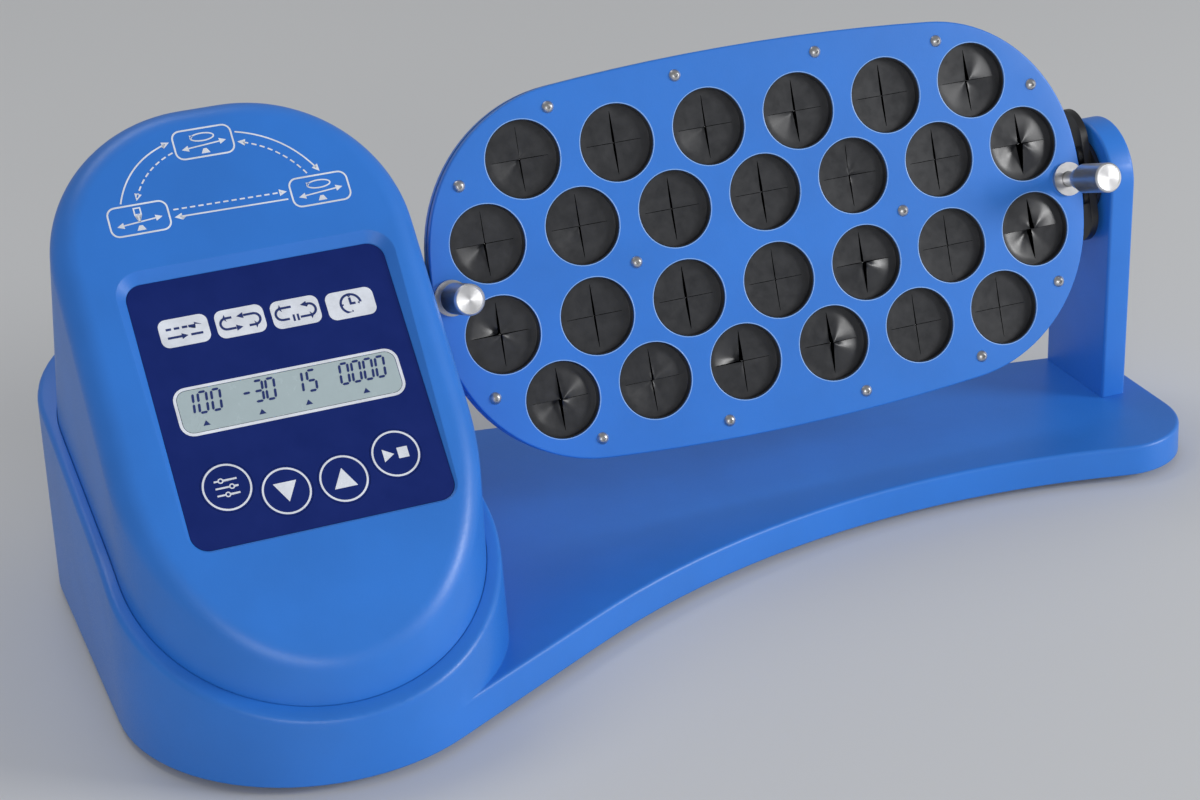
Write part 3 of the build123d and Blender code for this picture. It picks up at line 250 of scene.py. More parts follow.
knobSteel = makeMetal("knobAluminium", (0.76, 0.76, 0.77), 0.40, 0.0012, (1, 1, 1), 0.01, 0.03)
bronze = makeMetal("bearingBronze", (0.50, 0.31, 0.13), 0.36, 0.0009, (1, 1, 1), 0.2)
blackMetal = makePlain("blackMetal", (0.012, 0.012, 0.013), 0.34, 0.0005, 0.2, 0.00003)
blackPlastic = makePlain("blackPlastic", (0.013, 0.013, 0.014), 0.45, 0.0006, 0.3, 0.00005)
gearPlastic = makePlain("gearPlastic", (0.62, 0.61, 0.56), 0.42, 0.0008, 0.1)
boardGreen = makePlain("boardGreen", (0.015, 0.12, 0.045), 0.38, 0.001, 0.12)
slitRubber = makeRubber()
# painted shade: near black with no shine, for the slits' walls and the discs' middles
slitShade = makePlain("slitShade", (0.0015, 0.0015, 0.0017), 0.95, 0.001, 0.05)
slitShade.node_tree.nodes["Principled BSDF"].inputs["Specular IOR Level"].default_value = 0.0
footRubber = makePlain("footRubber", (0.014, 0.014, 0.015), 0.62, 0.0007, 0.35, 0.00006)
clearWindow = makeGlass()
# painted highlight: a much lighter blue than the plate's paint, for the bead round each hole's edge
rimHighlightBlue = makePlain("rimHighlightBlue", (0.28, 0.50, 0.92), 0.34, 0.0004, 0.05, 0.00002, 0.05)
print("finishes made")

finishOf = {
    "base_body": bluePaint, "end_post": bluePaint, "platform_front_plate": bluePaint,
    "platform_rear_plate": bluePaint, "upper_housing": blueShell, "control_panel": panelFilm,
    "mode_key": panelFilm, "down_key": panelFilm, "up_key": panelFilm, "start_key": panelFilm,
    "display_window": clearWindow, "display_module": lcdGlass, "bottom_cover": sheetZinc,
    "drive_frame": sheetZinc, "control_board": boardGreen, "key_switches": blackPlastic,
    "rubber_feet": footRubber, "rubber_sheet": slitRubber, "left_bracket": blackMetal,
    "right_bracket": blackMetal, "bracket_screws": blackMetal, "idler_hub": blackMetal,
    "drive_hub": blackMetal, "drive_gear": gearPlastic, "shaft_bearings": bronze,
    "motor_pinion": bronze, "post_bush": bronze, "dc_socket": blackPlastic,
    "power_switch": blackPlastic, "power_rocker": blackPlastic,
    "left_thumb_head": knobSteel, "right_thumb_head": knobSteel,
}

# ---- smooth shading on the CAD nodes, by modifiers ----
shading = {"smoothBelow": 20, "weld": 0.000002}


def makeSmoother():
    group = bpy.data.node_groups.new("smoothByAngle", "GeometryNodeTree")
    group.interface.new_socket("Geometry", in_out="INPUT", socket_type="NodeSocketGeometry")
    group.interface.new_socket("Geometry", in_out="OUTPUT", socket_type="NodeSocketGeometry")
    start = group.nodes.new("NodeGroupInput")
    end = group.nodes.new("NodeGroupOutput")
    faces = group.nodes.new("GeometryNodeSetShadeSmooth")
    edges = group.nodes.new("GeometryNodeSetShadeSmooth")
    edges.domain = "EDGE"
    angle = group.nodes.new("GeometryNodeInputMeshEdgeAngle")
    low = group.nodes.new("FunctionNodeCompare")
    low.data_type = "FLOAT"
    low.operation = "LESS_EQUAL"
    low.inputs[1].default_value = math.radians(shading["smoothBelow"])
    group.links.new(angle.outputs["Unsigned Angle"], low.inputs[0])
    group.links.new(start.outputs[0], faces.inputs["Geometry"])
    faces.inputs["Shade Smooth"].default_value = True
    group.links.new(faces.outputs[0], edges.inputs["Geometry"])
    group.links.new(low.outputs["Result"], edges.inputs["Shade Smooth"])
    group.links.new(edges.outputs[0], end.inputs[0])
    return group


smoother = makeSmoother()


def finishNode(name, obj):
    obj.data.materials.clear()
    obj.data.materials.append(finishOf.get(name, steel))
    weld = obj.modifiers.new("weld", "WELD")
    weld.merge_threshold = shading["weld"]
    smooth = obj.modifiers.new("smooth", "NODES")
    smooth.node_group = smoother


for name, obj in nodes.items():
    finishNode(name, obj)
print("nodes finished")

# ---- frames on the object that pieces are laid out in, in millimetres ----
lean = math.radians(19.3)
panelSlope = math.radians(45) - math.atan(2.0 / 80.5)


def planeFrame(origin, across, up):
    z = Vector(across).cross(Vector(up))
    turn = Matrix((Vector(across), Vector(up), z)).transposed().to_4x4()
    return Matrix.Translation(Vector(origin) * mm) @ turn @ Matrix.Scale(mm, 4)


faceUp = Vector((0, math.sqrt(0.5), math.sqrt(0.5)))
faceOut = Vector((0, -math.sqrt(0.5), math.sqrt(0.5)))
faceFoot = Vector((-125.0, -87.0, 41.6))
panelUp = Vector((0, math.cos(panelSlope), math.sin(panelSlope)))
panelFoot = faceFoot + Vector((2.6, 0, 0)) + faceUp * 31.7 - faceOut * 0.5
panelFrame = planeFrame(panelFoot + panelUp * 40.25, (1, 0, 0), panelUp)
faceFrame = planeFrame(faceFoot, (1, 0, 0), faceUp)
platformUp = Vector((0, math.sin(lean), math.cos(lean)))
platformFrame = planeFrame((46.4, 18.0, 87.6), (1, 0, 0), platformUp)


def addPiece(name, bm, frameMatrix, material, body):
    # a finished piece: its object at the origin, its place in its mesh
    mesh = bpy.data.meshes.new(name)
    bmesh.ops.transform(bm, matrix=frameMatrix, verts=bm.verts)
    bmesh.ops.recalc_face_normals(bm, faces=bm.faces)
    bm.to_mesh(mesh)
    bm.free()
    mesh.materials.append(material)
    obj = bpy.data.objects.new(name, mesh)
    scene.collection.objects.link(obj)
    smooth = obj.modifiers.new("smooth", "NODES")
    smooth.node_group = smoother
    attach(obj, body)
    return obj


# ---- flat print: filled outlines laid on a plane and given a hair of thickness ----
printSet = {"thickness": 0.05, "lift": 0.01, "stroke": 0.62}


class Print:
    # collects closed outlines, then turns them into one thin mesh
    def __init__(self):
        self.curve = bpy.data.curves.new("outline", "CURVE")
        self.curve.dimensions = "2D"
        self.curve.fill_mode = "BOTH"

    def outline(self, points):
        line = self.curve.splines.new("POLY")
        line.points.add(len(points) - 1)
        for spot, (x, y) in zip(line.points, points):
            spot.co = (x, y, 0, 1)
        line.use_cyclic_u = True

    def stroke(self, points, width=None, closed=False):
        # a line of even width, mitred at its corners
        half = (width or printSet["stroke"]) / 2
        pts = [Vector(p) for p in points]
        left, right = [], []
        count = len(pts)
        for i, p in enumerate(pts):
            before = pts[i - 1] if i or closed else None
            after = pts[(i + 1) % count] if i < count - 1 or closed else None
            a = (p - before).normalized() if before is not None else (after - p).normalized()
            b = (after - p).normalized() if after is not None else a
            bend = (a + b).normalized()
            side = Vector((-bend.y, bend.x)) * (half / max(bend.dot(a), 0.3))
            left.append(p + side)
            right.append(p - side)
        if closed:
            self.outline(left)
            self.outline(right)
        else:
            self.outline(left + right[::-1])

    def arrowHead(self, tip, heading, size):
        d = Vector(heading).normalized()
        n = Vector((-d.y, d.x))
        t = Vector(tip)
        self.outline([t, t - d * size + n * size * 0.48, t - d * size - n * size * 0.48])

    def dashes(self, points, dash, gap, width=None):
        # cuts a path into dashes by its own length
        pts = [Vector(p) for p in points]
        part, drawing, left = [pts[0]], True, dash
        for a, b in zip(pts, pts[1:]):
            length = (b - a).length
            done = 0.0
            while length - done > left:
                done += left
                spot = a.lerp(b, done / length)
                if drawing:
                    self.stroke(part + [spot], width)
                drawing = not drawing
                part = [spot]
                left = dash if drawing else gap
            left -= length - done
            part.append(b)
        if drawing and len(part) > 1:
            self.stroke(part, width)

    def piece(self, name, frameMatrix, material, body, lift=None, thickness=None):
        obj = bpy.data.objects.new("outline", self.curve)
        scene.collection.objects.link(obj)
        flat = bpy.data.meshes.new_from_object(obj)
        bpy.data.objects.remove(obj)
        bm = bmesh.new()
        bm.from_mesh(flat)
        bmesh.ops.remove_doubles(bm, verts=bm.verts, dist=0.001)
        grown = bmesh.ops.extrude_face_region(bm, geom=list(bm.faces))
        tops = [v for v in grown["geom"] if isinstance(v, bmesh.types.BMVert)]
        bmesh.ops.translate(bm, verts=tops, vec=(0, 0, thickness or printSet["thickness"]))
        bmesh.ops.translate(bm, verts=bm.verts, vec=(0, 0, lift or printSet["lift"]))
        return addPiece(name, bm, frameMatrix, material, body)


def arcPoints(centre, radius, start, stop, steps=24):
    turn = [math.radians(start + (stop - start) * i / steps) for i in range(steps + 1)]
    return [(centre[0] + radius * math.cos(a), centre[1] + radius * math.sin(a)) for a in turn]


def roundBox(centre, width, height, radius):
    w, h = width / 2 - radius, height / 2 - radius
    points = []
    for sx, sy, start in ((1, 1, 0), (-1, 1, 90), (-1, -1, 180), (1, -1, 270)):
        points += arcPoints((centre[0] + sx * w, centre[1] + sy * h), radius, start, start + 90, 6)
    return points


# ---- keys: ring and pictogram on each cap ----
keySet = {"ring": 6.85, "ringWidth": 0.55, "mode": (-24.2, -23.5), "down": (-8.6, -28.1),
          "up": (7.7, -28.1), "start": (23.8, -24.1)}


def makeKeyPrint(name, body, marks):
    p = Print()
    x, y = keySet[name]
    p.stroke(arcPoints((x, y), keySet["ring"] - keySet["ringWidth"] / 2, 0, 352.5, 47),
             keySet["ringWidth"], closed=True)
    marks(p, x, y)
    p.piece(name + "KeyPrint", panelFrame, printWhite, body)


def modeMarks(p, x, y):
    # three bars with sliders
    for row, knob in ((2.1, -1.3), (0, 1.4), (-2.1, -0.2)):
        p.stroke([(x - 3.2, y + row), (x + knob - 0.75, y + row)], 0.5)
        p.stroke([(x + knob + 0.75, y + row), (x + 3.2, y + row)], 0.5)
        p.stroke(arcPoints((x + knob, y + row), 0.62, 0, 345, 20), 0.35, closed=True)


def downMarks(p, x, y):
    p.outline([(x - 3.3, y + 2.6), (x + 3.3, y + 2.6), (x, y - 3.2)])


def upMarks(p, x, y):
    p.outline([(x - 3.3, y - 2.6), (x + 3.3, y - 2.6), (x, y + 3.2)])


def startMarks(p, x, y):
    p.outline([(x - 3.6, y - 1.9), (x - 3.6, y + 1.9), (x - 0.5, y)])
    p.outline([(x + 0.6, y - 1.6), (x + 3.6, y - 1.6), (x + 3.6, y + 1.6), (x + 0.6, y + 1.6)])


makeKeyPrint("mode", "mode_button", modeMarks)
makeKeyPrint("down", "down_button", downMarks)
makeKeyPrint("up", "up_button", upMarks)
makeKeyPrint("start", "start_button", startMarks)
print("keys printed")

# ---- panel: four pictogram tiles and the display's frame ----
tileSet = {"width": 14.0, "height": 8.6, "radius": 2.3, "columns": (-24.0, -8.05, 7.9, 23.9),
           "rows": (24.1, 23.8, 23.4, 22.8)}


def makeTiles():
    tiles = Print()
    ink = Print()
    for x, y in zip(tileSet["columns"], tileSet["rows"]):
        tiles.outline(roundBox((x, y), tileSet["width"], tileSet["height"], tileSet["radius"]))
    tiles.piece("iconTiles", panelFrame, printWhite, "base")
    thin = 0.68
    a, b, c, d = tileSet["columns"]
    # spaced arrows over a rest line
    y = tileSet["rows"][0]
    ink.dashes([(a - 5.0, y + 1.2), (a + 1.2, y + 1.2)], 1.5, 0.8, thin)
    ink.stroke([(a + 1.4, y + 1.2), (a + 3.4, y + 1.2)], thin)
    ink.arrowHead((a + 5.2, y + 1.2), (1, 0), 2.0)
    ink.stroke([(a - 5.0, y - 1.4), (a - 1.0, y - 1.4)], thin)
    ink.arrowHead((a + 0.8, y - 1.4), (1, 0), 1.8)
    ink.stroke([(a + 1.6, y - 1.4), (a + 5.0, y - 1.4)], thin)
    # a loop that turns one way and then the other
    y = tileSet["rows"][1]
    ink.stroke([(b - 2.2, y + 1.7), (b - 4.0, y + 1.7)] + arcPoints((b - 4.0, y), 1.7, 90, 270, 10)
               + [(b - 1.6, y - 1.7)], thin)
    ink.arrowHead((b + 0.4, y - 1.7), (1, 0), 1.9)
    ink.stroke([(b + 2.2, y - 1.7), (b + 4.0, y - 1.7)] + arcPoints((b + 4.0, y), 1.7, -90, 90, 10)
               + [(b + 1.2, y + 1.7)], thin)
    ink.arrowHead((b - 0.8, y + 1.7), (-1, 0), 1.9)
    # the same loop with two rest bars
    y = tileSet["rows"][2]
    ink.stroke([(c - 1.0, y + 1.9), (c - 4.0, y + 1.9)] + arcPoints((c - 4.0, y + 0.1), 1.8, 90, 270, 10)
               + [(c - 2.2, y - 1.7)], thin)
    ink.stroke([(c + 1.0, y - 1.7), (c + 4.0, y - 1.7)] + arcPoints((c + 4.0, y + 0.1), 1.8, -90, 90, 10)
               + [(c + 3.4, y + 1.9)], thin)
    ink.arrowHead((c + 1.7, y + 1.9), (-1, 0), 1.8)
    for bar in (-0.9, 0.3):
        ink.stroke([(c + bar, y - 2.6), (c + bar, y - 0.6)], 0.6)
    # a clock
    y = tileSet["rows"][3]
    ink.stroke(arcPoints((d, y), 2.9, 0, 350, 35), thin, closed=True)
    ink.stroke([(d, y + 1.9), (d, y), (d + 1.4, y)], thin)
    for turn in (0, 90, 180, 270):
        t = math.radians(turn)
        ink.stroke([(d + 2.1 * math.cos(t), y + 2.1 * math.sin(t)),
                    (d + 2.6 * math.cos(t), y + 2.6 * math.sin(t))], 0.35)
    ink.piece("iconMarks", panelFrame, lcdInk, "base", lift=0.065)


makeTiles()

displaySet = {"centre": (0.1, 0.1), "width": 63.0, "height": 12.8, "corner": 3.0, "rim": 0.9,
              "digitHeight": 6.1, "digitWidth": 2.35, "slant": 0.12, "bar": 0.70,
              "fields": (("100", -19.7, 3.8), ("-30", -4.3, 3.4), ("15", 7.6, 3.9), ("0000", 27.6, 3.5))}

segmentsOf = {"0": "abcdef", "1": "bc", "2": "abged", "3": "abgcd", "4": "fgbc", "5": "afgcd",
              "6": "afgedc", "7": "abc", "8": "abcdefg", "9": "abcfgd", "-": "g", " ": ""}


def sevenSegment(p, text, right, y, step):
    h, w, bar = (displaySet[k] for k in ("digitHeight", "digitWidth", "bar"))
    x = right - w - step * (len(text) - 1)
    gap = bar * 0.16
    lines = {"a": ((0, h), (w, h)), "b": ((w, h), (w, h / 2)), "c": ((w, h / 2), (w, 0)),
             "d": ((0, 0), (w, 0)), "e": ((0, 0), (0, h / 2)), "f": ((0, h / 2), (0, h)),
             "g": ((0, h / 2), (w, h / 2))}
    for k, digit in enumerate(text):
        left = x + k * step
        for name in segmentsOf[digit]:
            a, b = (Vector(e) for e in lines[name])
            d = (b - a).normalized()
            n = Vector((-d.y, d.x)) * bar / 2
            a, b = a + d * (gap + bar * 0.1), b - d * (gap + bar * 0.1)
            hexagon = [a, a + d * bar / 2 + n, b - d * bar / 2 + n,
                       b, b - d * bar / 2 - n, a + d * bar / 2 - n]
            p.outline([(left + q.x + q.y * displaySet["slant"], y + q.y) for q in hexagon])


def makeDisplay():
    cx, cy = displaySet["centre"]
    rim = Print()
    for grow in (displaySet["rim"], 0.05):
        rim.outline(roundBox((cx, cy), displaySet["width"] + 2 * grow, displaySet["height"] + 2 * grow,
                             displaySet["corner"] + grow))
    rim.piece("displayRim", panelFrame, printWhite, "base")
    lcd = Print()
    lcd.outline(roundBox((cx, cy), displaySet["width"] - 0.2, displaySet["height"] - 0.2,
                         displaySet["corner"] - 0.1))
    lcd.piece("displayFace", panelFrame, lcdGlass, "base", lift=-0.02)
    digits = Print()
    base = cy - 0.9
    # four values, each with its right edge and digit step, and a small pointer below
    for text, right, step in displaySet["fields"]:
        sevenSegment(digits, text, right, base, step)
        mid = right - 1.4 - step * (len(text) - 1) / 2
        digits.outline([(mid - 1.0, base - 3.9), (mid + 1.0, base - 3.9), (mid, base - 2.4)])
    digits.piece("displayDigits", panelFrame, lcdInk, "base", lift=0.045)


makeDisplay()
print("panel printed")

# ---- the cycle diagram on the sloping face above the panel ----
cycleSet = {"boxWidth": 17.0, "boxHeight": 9.0, "corner": 2.4, "left": (-25.8, 130.9),
            "top": (-2.3, 151.1), "right": (26.8, 130.4)}


def makeCycle():
    p = Print()
    for key in ("left", "top", "right"):
        p.stroke(roundBox(cycleSet[key], cycleSet["boxWidth"], cycleSet["boxHeight"], cycleSet["corner"]),
                 0.5, closed=True)
        x, y = cycleSet[key]
        if key == "left":
            # a tube standing over a turning arrow
            p.stroke([(x - 0.9, y + 3.4), (x - 0.9, y + 1.4), (x + 0.9, y + 1.4), (x + 0.9, y + 3.4)],
                     0.4, closed=True)
            p.stroke([(x, y + 1.4), (x, y - 1.0)], 0.4)
        else:
            p.stroke([(x + 3.4 * math.cos(t), y + 1.7 + 1.2 * math.sin(t))
                      for t in [math.tau * i / 28 for i in range(28)]], 0.4, closed=True)
            p.arrowHead((x - 3.3, y + 1.3), (-0.25, -1), 1.3)
        # the rocking arrow below
        p.stroke([(x - 4.6, y - 1.3), (x + 4.6, y - 0.5)], 0.4)
        p.arrowHead((x + 6.6, y - 0.3), (1, 0.09), 2.0)
        p.arrowHead((x - 6.6, y - 1.5), (-1, -0.09), 2.0)
        p.outline([(x - 1.3, y - 3.5), (x + 1.3, y - 3.5), (x + 0.5, y - 2.0), (x - 0.5, y - 2.0)])
    lx, ly = cycleSet["left"]
    tx, ty = cycleSet["top"]
    rx, ry = cycleSet["right"]

    def curve(start, stop, bulge, steps=20):
        a, b = Vector(start), Vector(stop)
        mid = (a + b) / 2 + Vector(((a - b).y, (b - a).x)) * bulge
        return [tuple((1 - t) ** 2 * a + 2 * t * (1 - t) * mid + t * t * b)
                for t in [i / steps for i in range(steps + 1)]]

    def travel(start, stop, bulge, dashed):
        path = curve(start, stop, bulge)
        last = Vector(path[-1]) - Vector(path[-2])
        if dashed:
            p.dashes(path[:-1], 1.5, 0.9, 0.45)
        else:
            p.stroke(path[:-1], 0.45)
        p.arrowHead(path[-1], last, 2.2)

    travel((lx - 4.0, ly + 5.4), (tx - 9.6, ty + 1.6), 0.26, False)
    travel((tx - 9.4, ty - 1.8), (lx + 0.6, ly + 5.6), -0.22, True)
    travel((tx + 9.6, ty + 1.6), (rx + 1.4, ry + 5.6), 0.22, False)
    travel((rx - 2.4, ry + 5.6), (tx + 9.6, ty - 1.6), -0.20, True)
    travel((lx + 10.0, ly + 1.0), (rx - 9.6, ry + 1.0), 0.0, True)
    travel((rx - 9.8, ry - 1.4), (lx + 9.8, ly - 1.4), 0.0, False)
    p.piece("cycleDiagram", faceFrame, printWhite, "base")


makeCycle()
print("cycle diagram printed")

# ---- slit rubber: one sheet with a cross-cut disc in each hole ----
rubberSet = {"hole": 12.02, "reach": (8.6, 9.6), "middle": 6.9, "thickness": 0.8, "pitch": 30.8,
             "inner": 14.0, "outer": 37.2, "rings": 16, "between": 8, "dish": 0.3,
             "collar": 0.35, "collarTop": 9.6, "collarEase": 0.15,
             "rim": ((11.98, 9.7), (11.98, 9.91), (12.06, 10.02), (12.18, 10.05), (12.32, 9.99))}
lips = (0.0, 0.06, 0.16, 0.5)
# how wide each disc's upright slit stands, by row and from left to right
slitWidth = {"top": (0.08, 0.40, 0.22, 0.40, 0.40, 0.40),
             "upper": (0.10, 0.20, 0.35, 0.42, 0.30, 0.38, 0.40),
             "lower": (0.22, 0.32, 0.46, 0.14, 0.34, 0.16, 0.50),
             "bottom": (0.16, 0.18, 0.28, 0.34, 0.14, 0.14)}
# quarters that tubes have pushed in or pulled out, from the right upper one round, in mm
pushed = {("top", 0): (-0.6, 0, -1.2, 0), ("top", 2): (0, 0, -0.9, 0.2), ("top", 3): (0, 0, -1.2, 0),
          ("top", 5): (1.2, 0, -0.6, -0.8), ("upper", 0): (0, 0, -1.9, 0.3), ("upper", 1): (0, 0, -0.7, 0),
          ("upper", 4): (-1.7, 0.2, 0, -0.3), ("upper", 6): (1.5, 0.3, -1.6, 2.7),
          ("lower", 0): (-0.4, -2.4, 0.7, 1.4), ("lower", 4): (0.3, -0.2, 0.8, 2.6),
          ("lower", 6): (2.2, 0.5, -2.6, -0.6), ("bottom", 0): (2.4, 0.4, -1.8, 1.6),
          ("bottom", 1): (1.2, 0.4, -1.0, -0.5), ("bottom", 2): (0.2, -2.6, 1.0, 0.3),
          ("bottom", 3): (2.2, 0.3, 0.8, 2.6)}


def lipAngles(r):
    # close together beside both slits, evenly spread between them
    near = [math.asin(min(d / r, 0.11 * k)) for k, d in enumerate(lips)]
    count = rubberSet["between"]
    step = (math.pi / 2 - 2 * near[-1]) / count
    return near + [near[-1] + step * i for i in range(1, count)] + [math.pi / 2 - a for a in reversed(near)]


def flap(bm, centre, quarter, heights, width, seed, way):
    # one side of a quarter of a disc: front (way 1) and back (way -1) meet in the slits and at the rim
    columns = 2 * len(lips) + rubberSet["between"] - 2
    made = bmesh.ops.create_grid(bm, x_segments=rubberSet["rings"], y_segments=columns, size=0.5)
    push = heights[quarter]
    gaps = [(0.04, width)[(quarter + k) % 2] for k in (0, 1)]
    reach = [rubberSet["reach"][(quarter + k) % 2] for k in (0, 1)]
    ways = [(quarter + 1) * math.pi / 2, quarter * math.pi / 2]
    outer = rubberSet["rings"] - 1
    for v in made["verts"]:
        ring = round((v.co.x + 0.5) * rubberSet["rings"])
        column = round((v.co.y + 0.5) * columns)
        # the two smallest rings close the middle, the last one turns down the rim
        r = rubberSet["hole"] * ((0.004, 0.026)[ring] if ring < 2 else (min(ring, outer) / outer) ** 0.9)
        bend = lipAngles(r)[column]
        side = 2 * bend / math.pi
        a = quarter * math.pi / 2 + bend
        x, y = r * math.cos(a), r * math.sin(a)
        free = max(0.0, 1 - r / max(reach))
        z = -rubberSet["dish"] * (1 - (r / rubberSet["hole"]) ** 2)
        half = 0.0 if ring in (0, rubberSet["rings"]) else rubberSet["thickness"] / 2
        edge = min(column, columns - column)
        near = 0 if column * 2 < columns else 1
        open = max(0.0, 1 - r / reach[near])
        if edge == 0:
            half *= 1 - min(1.0, open * 7)
        else:
            z += push * free * (0.7 + 0.3 * math.sin(math.pi * side))
            z += 0.10 * push * free ** 0.6 * (1 - free) * math.cos(7 * bend + seed)
            z += 0.07 * free * noise.noise((centre[0] + x * 0.2, centre[1] + y * 0.2, seed + quarter * 9.0))
            for k, weight in ((0, (1 - side) ** 2), (1, side ** 2)):
                gap = gaps[k] * max(0.0, 1 - r / reach[k]) ** 0.6 * weight
                x += gap * math.cos(ways[k])
                y += gap * math.sin(ways[k])
        v.co = (centre[0] + x, centre[1] + y, rubberSet["middle"] + max(-2.5, min(2.5, z)) + way * half)
        if ring == 0 or edge == 0 and open:
            # painted shade: the slit's walls and the disc's middle get the near-black slit material
            for face in v.link_faces:
                face.material_index = 1


def makeRings(name, profile, material):
    # one turned ring, copied round every hole of the front plate
    bm = bmesh.new()
    verts = [bm.verts.new((r, 0, z)) for r, z in profile]
    edges = [bm.edges.new(pair) for pair in zip(verts, verts[1:])]
    bmesh.ops.spin(bm, geom=verts + edges, cent=(0, 0, 0), axis=(0, 0, 1), dvec=(0, 0, 0),
                   angle=math.tau, steps=60, use_merge=True)
    ring = list(bm.verts) + list(bm.edges) + list(bm.faces)
    for centre, row, k in list(holeRows())[1:]:
        copy = bmesh.ops.duplicate(bm, geom=ring)
        moved = [v for v in copy["geom"] if isinstance(v, bmesh.types.BMVert)]
        bmesh.ops.translate(bm, verts=moved, vec=(*centre, 0))
    first = next(holeRows())[0]
    own = [v for v in ring if isinstance(v, bmesh.types.BMVert)]
    bmesh.ops.translate(bm, verts=own, vec=(*first, 0))
    rings = addPiece(name, bm, platformFrame, material, "rotor")


def makeCollars():
    # the rubber's lip that lines each hole, and a bead round each hole's edge whose lighter blue is painted
    # highlight, added to the light its facets catch from the lamps
    r, wall, top, ease = (rubberSet[k] for k in ("hole", "collar", "collarTop", "collarEase"))
    lip = [(r - wall, rubberSet["middle"]), (r - wall, top - ease), (r - wall / 2, top),
           (r - 0.05, top - ease)]
    makeRings("rubberCollars", lip, slitRubber)
    makeRings("holeRims", rubberSet["rim"], rimHighlightBlue)


def holeRows():
    pitch = rubberSet["pitch"]
    for row, y, count in (("top", 1, 6), ("upper", 1, 7), ("lower", -1, 7), ("bottom", -1, 6)):
        height = y * (rubberSet["outer"] if count == 6 else rubberSet["inner"])
        for k in range(count):
            yield ((k - (count - 1) / 2) * pitch, height), row, k


def makeFlaps():
    bm = bmesh.new()
    for number, (centre, row, k) in enumerate(holeRows()):
        heights = pushed.get((row, k), (0.06, -0.04, 0.05, -0.06))
        for quarter in range(4):
            for way in (1, -1):
                flap(bm, centre, quarter, heights, slitWidth[row][k], number + 1, way)
    bmesh.ops.remove_doubles(bm, verts=bm.verts, dist=0.004)
    flaps = addPiece("rubberFlaps", bm, platformFrame, slitRubber, "rotor")
    flaps.data.materials.append(slitShade)


makeFlaps()
makeCollars()
print("rubber flaps made")

sheetSet = {"halfLength": 111.7, "halfHeight": 60.4, "corner": 50.3, "centre": (60.8, 7.4),
            "front": 7.5, "thickness": 1.5}


def platformOutline():
    cx, cy = sheetSet["centre"]
    tall = sheetSet["halfHeight"] - sheetSet["corner"]
    wide = sheetSet["halfLength"] - sheetSet["corner"]
    sideC = (cx ** 2 + cy ** 2 - tall ** 2) / (2 * (tall - cy))
    endC = (cx ** 2 + cy ** 2 - wide ** 2) / (2 * (wide - cx))
    high = math.degrees(math.atan2(cy + sideC, cx))
    low = math.degrees(math.atan2(cy, cx + endC))
    arcs = (((-endC, 0), endC + sheetSet["halfLength"], -low, low),
            ((cx, cy), sheetSet["corner"], low, high),
            ((0, -sideC), sideC + sheetSet["halfHeight"], high, 180 - high),
            ((-cx, cy), sheetSet["corner"], 180 - high, 180 - low),
            ((endC, 0), endC + sheetSet["halfLength"], 180 - low, 180 + low),
            ((-cx, -cy), sheetSet["corner"], 180 + low, 180 + high),
            ((0, sideC), sideC + sheetSet["halfHeight"], 180 + high, 360 - high),
            ((cx, -cy), sheetSet["corner"], 360 - high, 360 - low))
    points = []
    for arc in arcs:
        points += arcPoints(*arc, 14)[:-1]
    return points


def makeSheet():
    p = Print()
    p.outline(platformOutline())
    for centre, row, k in holeRows():
        p.outline(arcPoints(centre, 12.0, 0, 354, 59))
    back = sheetSet["front"] - sheetSet["thickness"]
    sheet = p.piece("rubberSheet", platformFrame, slitRubber, "rotor", back, sheetSet["thickness"])
    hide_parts("rubber_sheet")


makeSheet()
print("rubber sheet made")

# ---- thumb screw heads with a diamond knurl ----
knobSet = {"radius": 4.75, "neck": 3.4, "seat": 11.23, "neckLength": 3.57, "length": 15.0,
           "bore": 2.53, "segments": 64, "rows": 26, "depth": 0.16, "ease": 0.5,
           "grooves": 44, "groove": 0.017, "recess": 0.12}


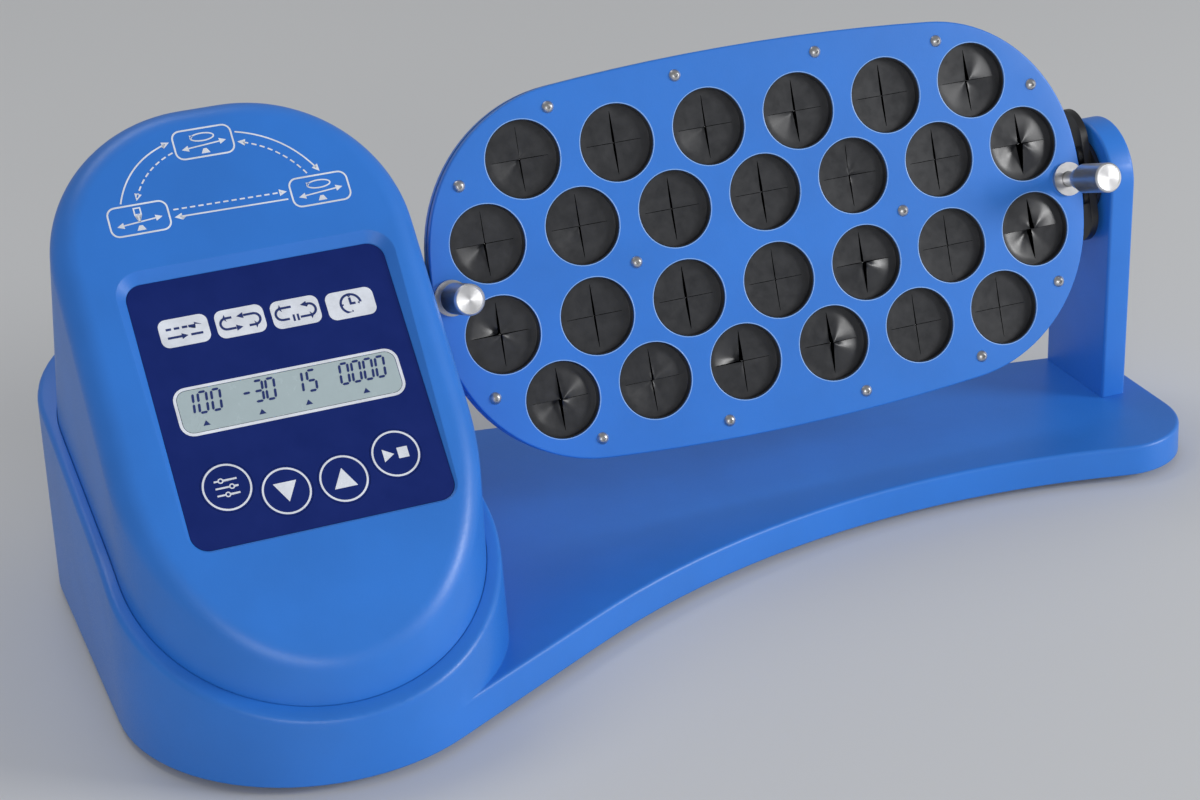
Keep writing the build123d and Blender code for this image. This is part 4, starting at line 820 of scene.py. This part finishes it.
def makeKnob(name, node, body, x, turnedOut):
    k = knobSet
    bm = bmesh.new()
    back = k["seat"] + k["neckLength"]
    front = back + k["length"]
    first, last = back + 1.0, front - 1.2
    profile = [(k["bore"], k["seat"] + 11.0), (k["bore"], k["seat"]), (k["neck"], k["seat"]),
               (k["neck"], back), (k["radius"] - k["ease"], back), (k["radius"], back + k["ease"]),
               (k["radius"], first)]
    profile += [(k["radius"], first + (last - first) * i / k["rows"]) for i in range(1, k["rows"] + 1)]
    profile += [(k["radius"], front - k["ease"]), (k["radius"] - k["ease"], front),
                (k["radius"] - k["ease"] - 0.25, front), (k["radius"] - k["ease"] - 0.35, front - k["recess"])]
    # turned grooves on the end face
    rim = k["radius"] - k["ease"] - 0.35
    turns = k["grooves"]
    profile += [(max(rim * (1 - i / turns), 0.0001), front - k["recess"] - k["groove"] * (i % 2))
                for i in range(1, turns + 1)]
    verts = [bm.verts.new((r, 0, z)) for r, z in profile]
    edges = [bm.edges.new(pair) for pair in zip(verts, verts[1:])]
    bmesh.ops.spin(bm, geom=verts + edges, cent=(0, 0, 0), axis=(0, 0, 1), dvec=(0, 0, 0),
                   angle=math.tau, steps=k["segments"], use_merge=True)
    bmesh.ops.remove_doubles(bm, verts=bm.verts, dist=0.0006)
    step = (last - first) / k["rows"]
    for v in bm.verts:
        r = math.hypot(v.co.x, v.co.y)
        if abs(r - k["radius"]) < 0.01 and first - 0.01 < v.co.z < last + 0.01:
            row = round((v.co.z - first) / step)
            column = round(math.atan2(v.co.y, v.co.x) / math.tau * k["segments"])
            if (row + column) % 2:
                shrink = 1 - k["depth"] / r
                v.co.x *= shrink
                v.co.y *= shrink
    bmesh.ops.translate(bm, verts=bm.verts, vec=(x, 0, turnedOut))
    obj = addPiece(name, bm, platformFrame, knobSteel, body)
    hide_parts(node)


makeKnob("leftKnob", "left_thumb_head", "left_knob", -106.7, 0.0)
makeKnob("rightKnob", "right_thumb_head", "right_knob", 106.7, 6.2)
print("thumb screws made")

# ---- floor ----


def makeFloor():
    bm = bmesh.new()
    bmesh.ops.create_grid(bm, x_segments=2, y_segments=2, size=studio["floorSize"])
    mesh = bpy.data.meshes.new("floor")
    bm.to_mesh(mesh)
    bm.free()
    mat, tree, shader = newMaterial("paleFloor", studio["floor"], 0.55)
    cloud = objectNoise(tree, 0.4, 2)
    tree.links.new(spread(tree, cloud, 0.5, 0.6), shader.inputs["Roughness"])
    mesh.materials.append(mat)
    floor = bpy.data.objects.new("floor", mesh)
    scene.collection.objects.link(floor)


makeFloor()
scene.view_settings.view_transform = "Standard"
print("scene ready")
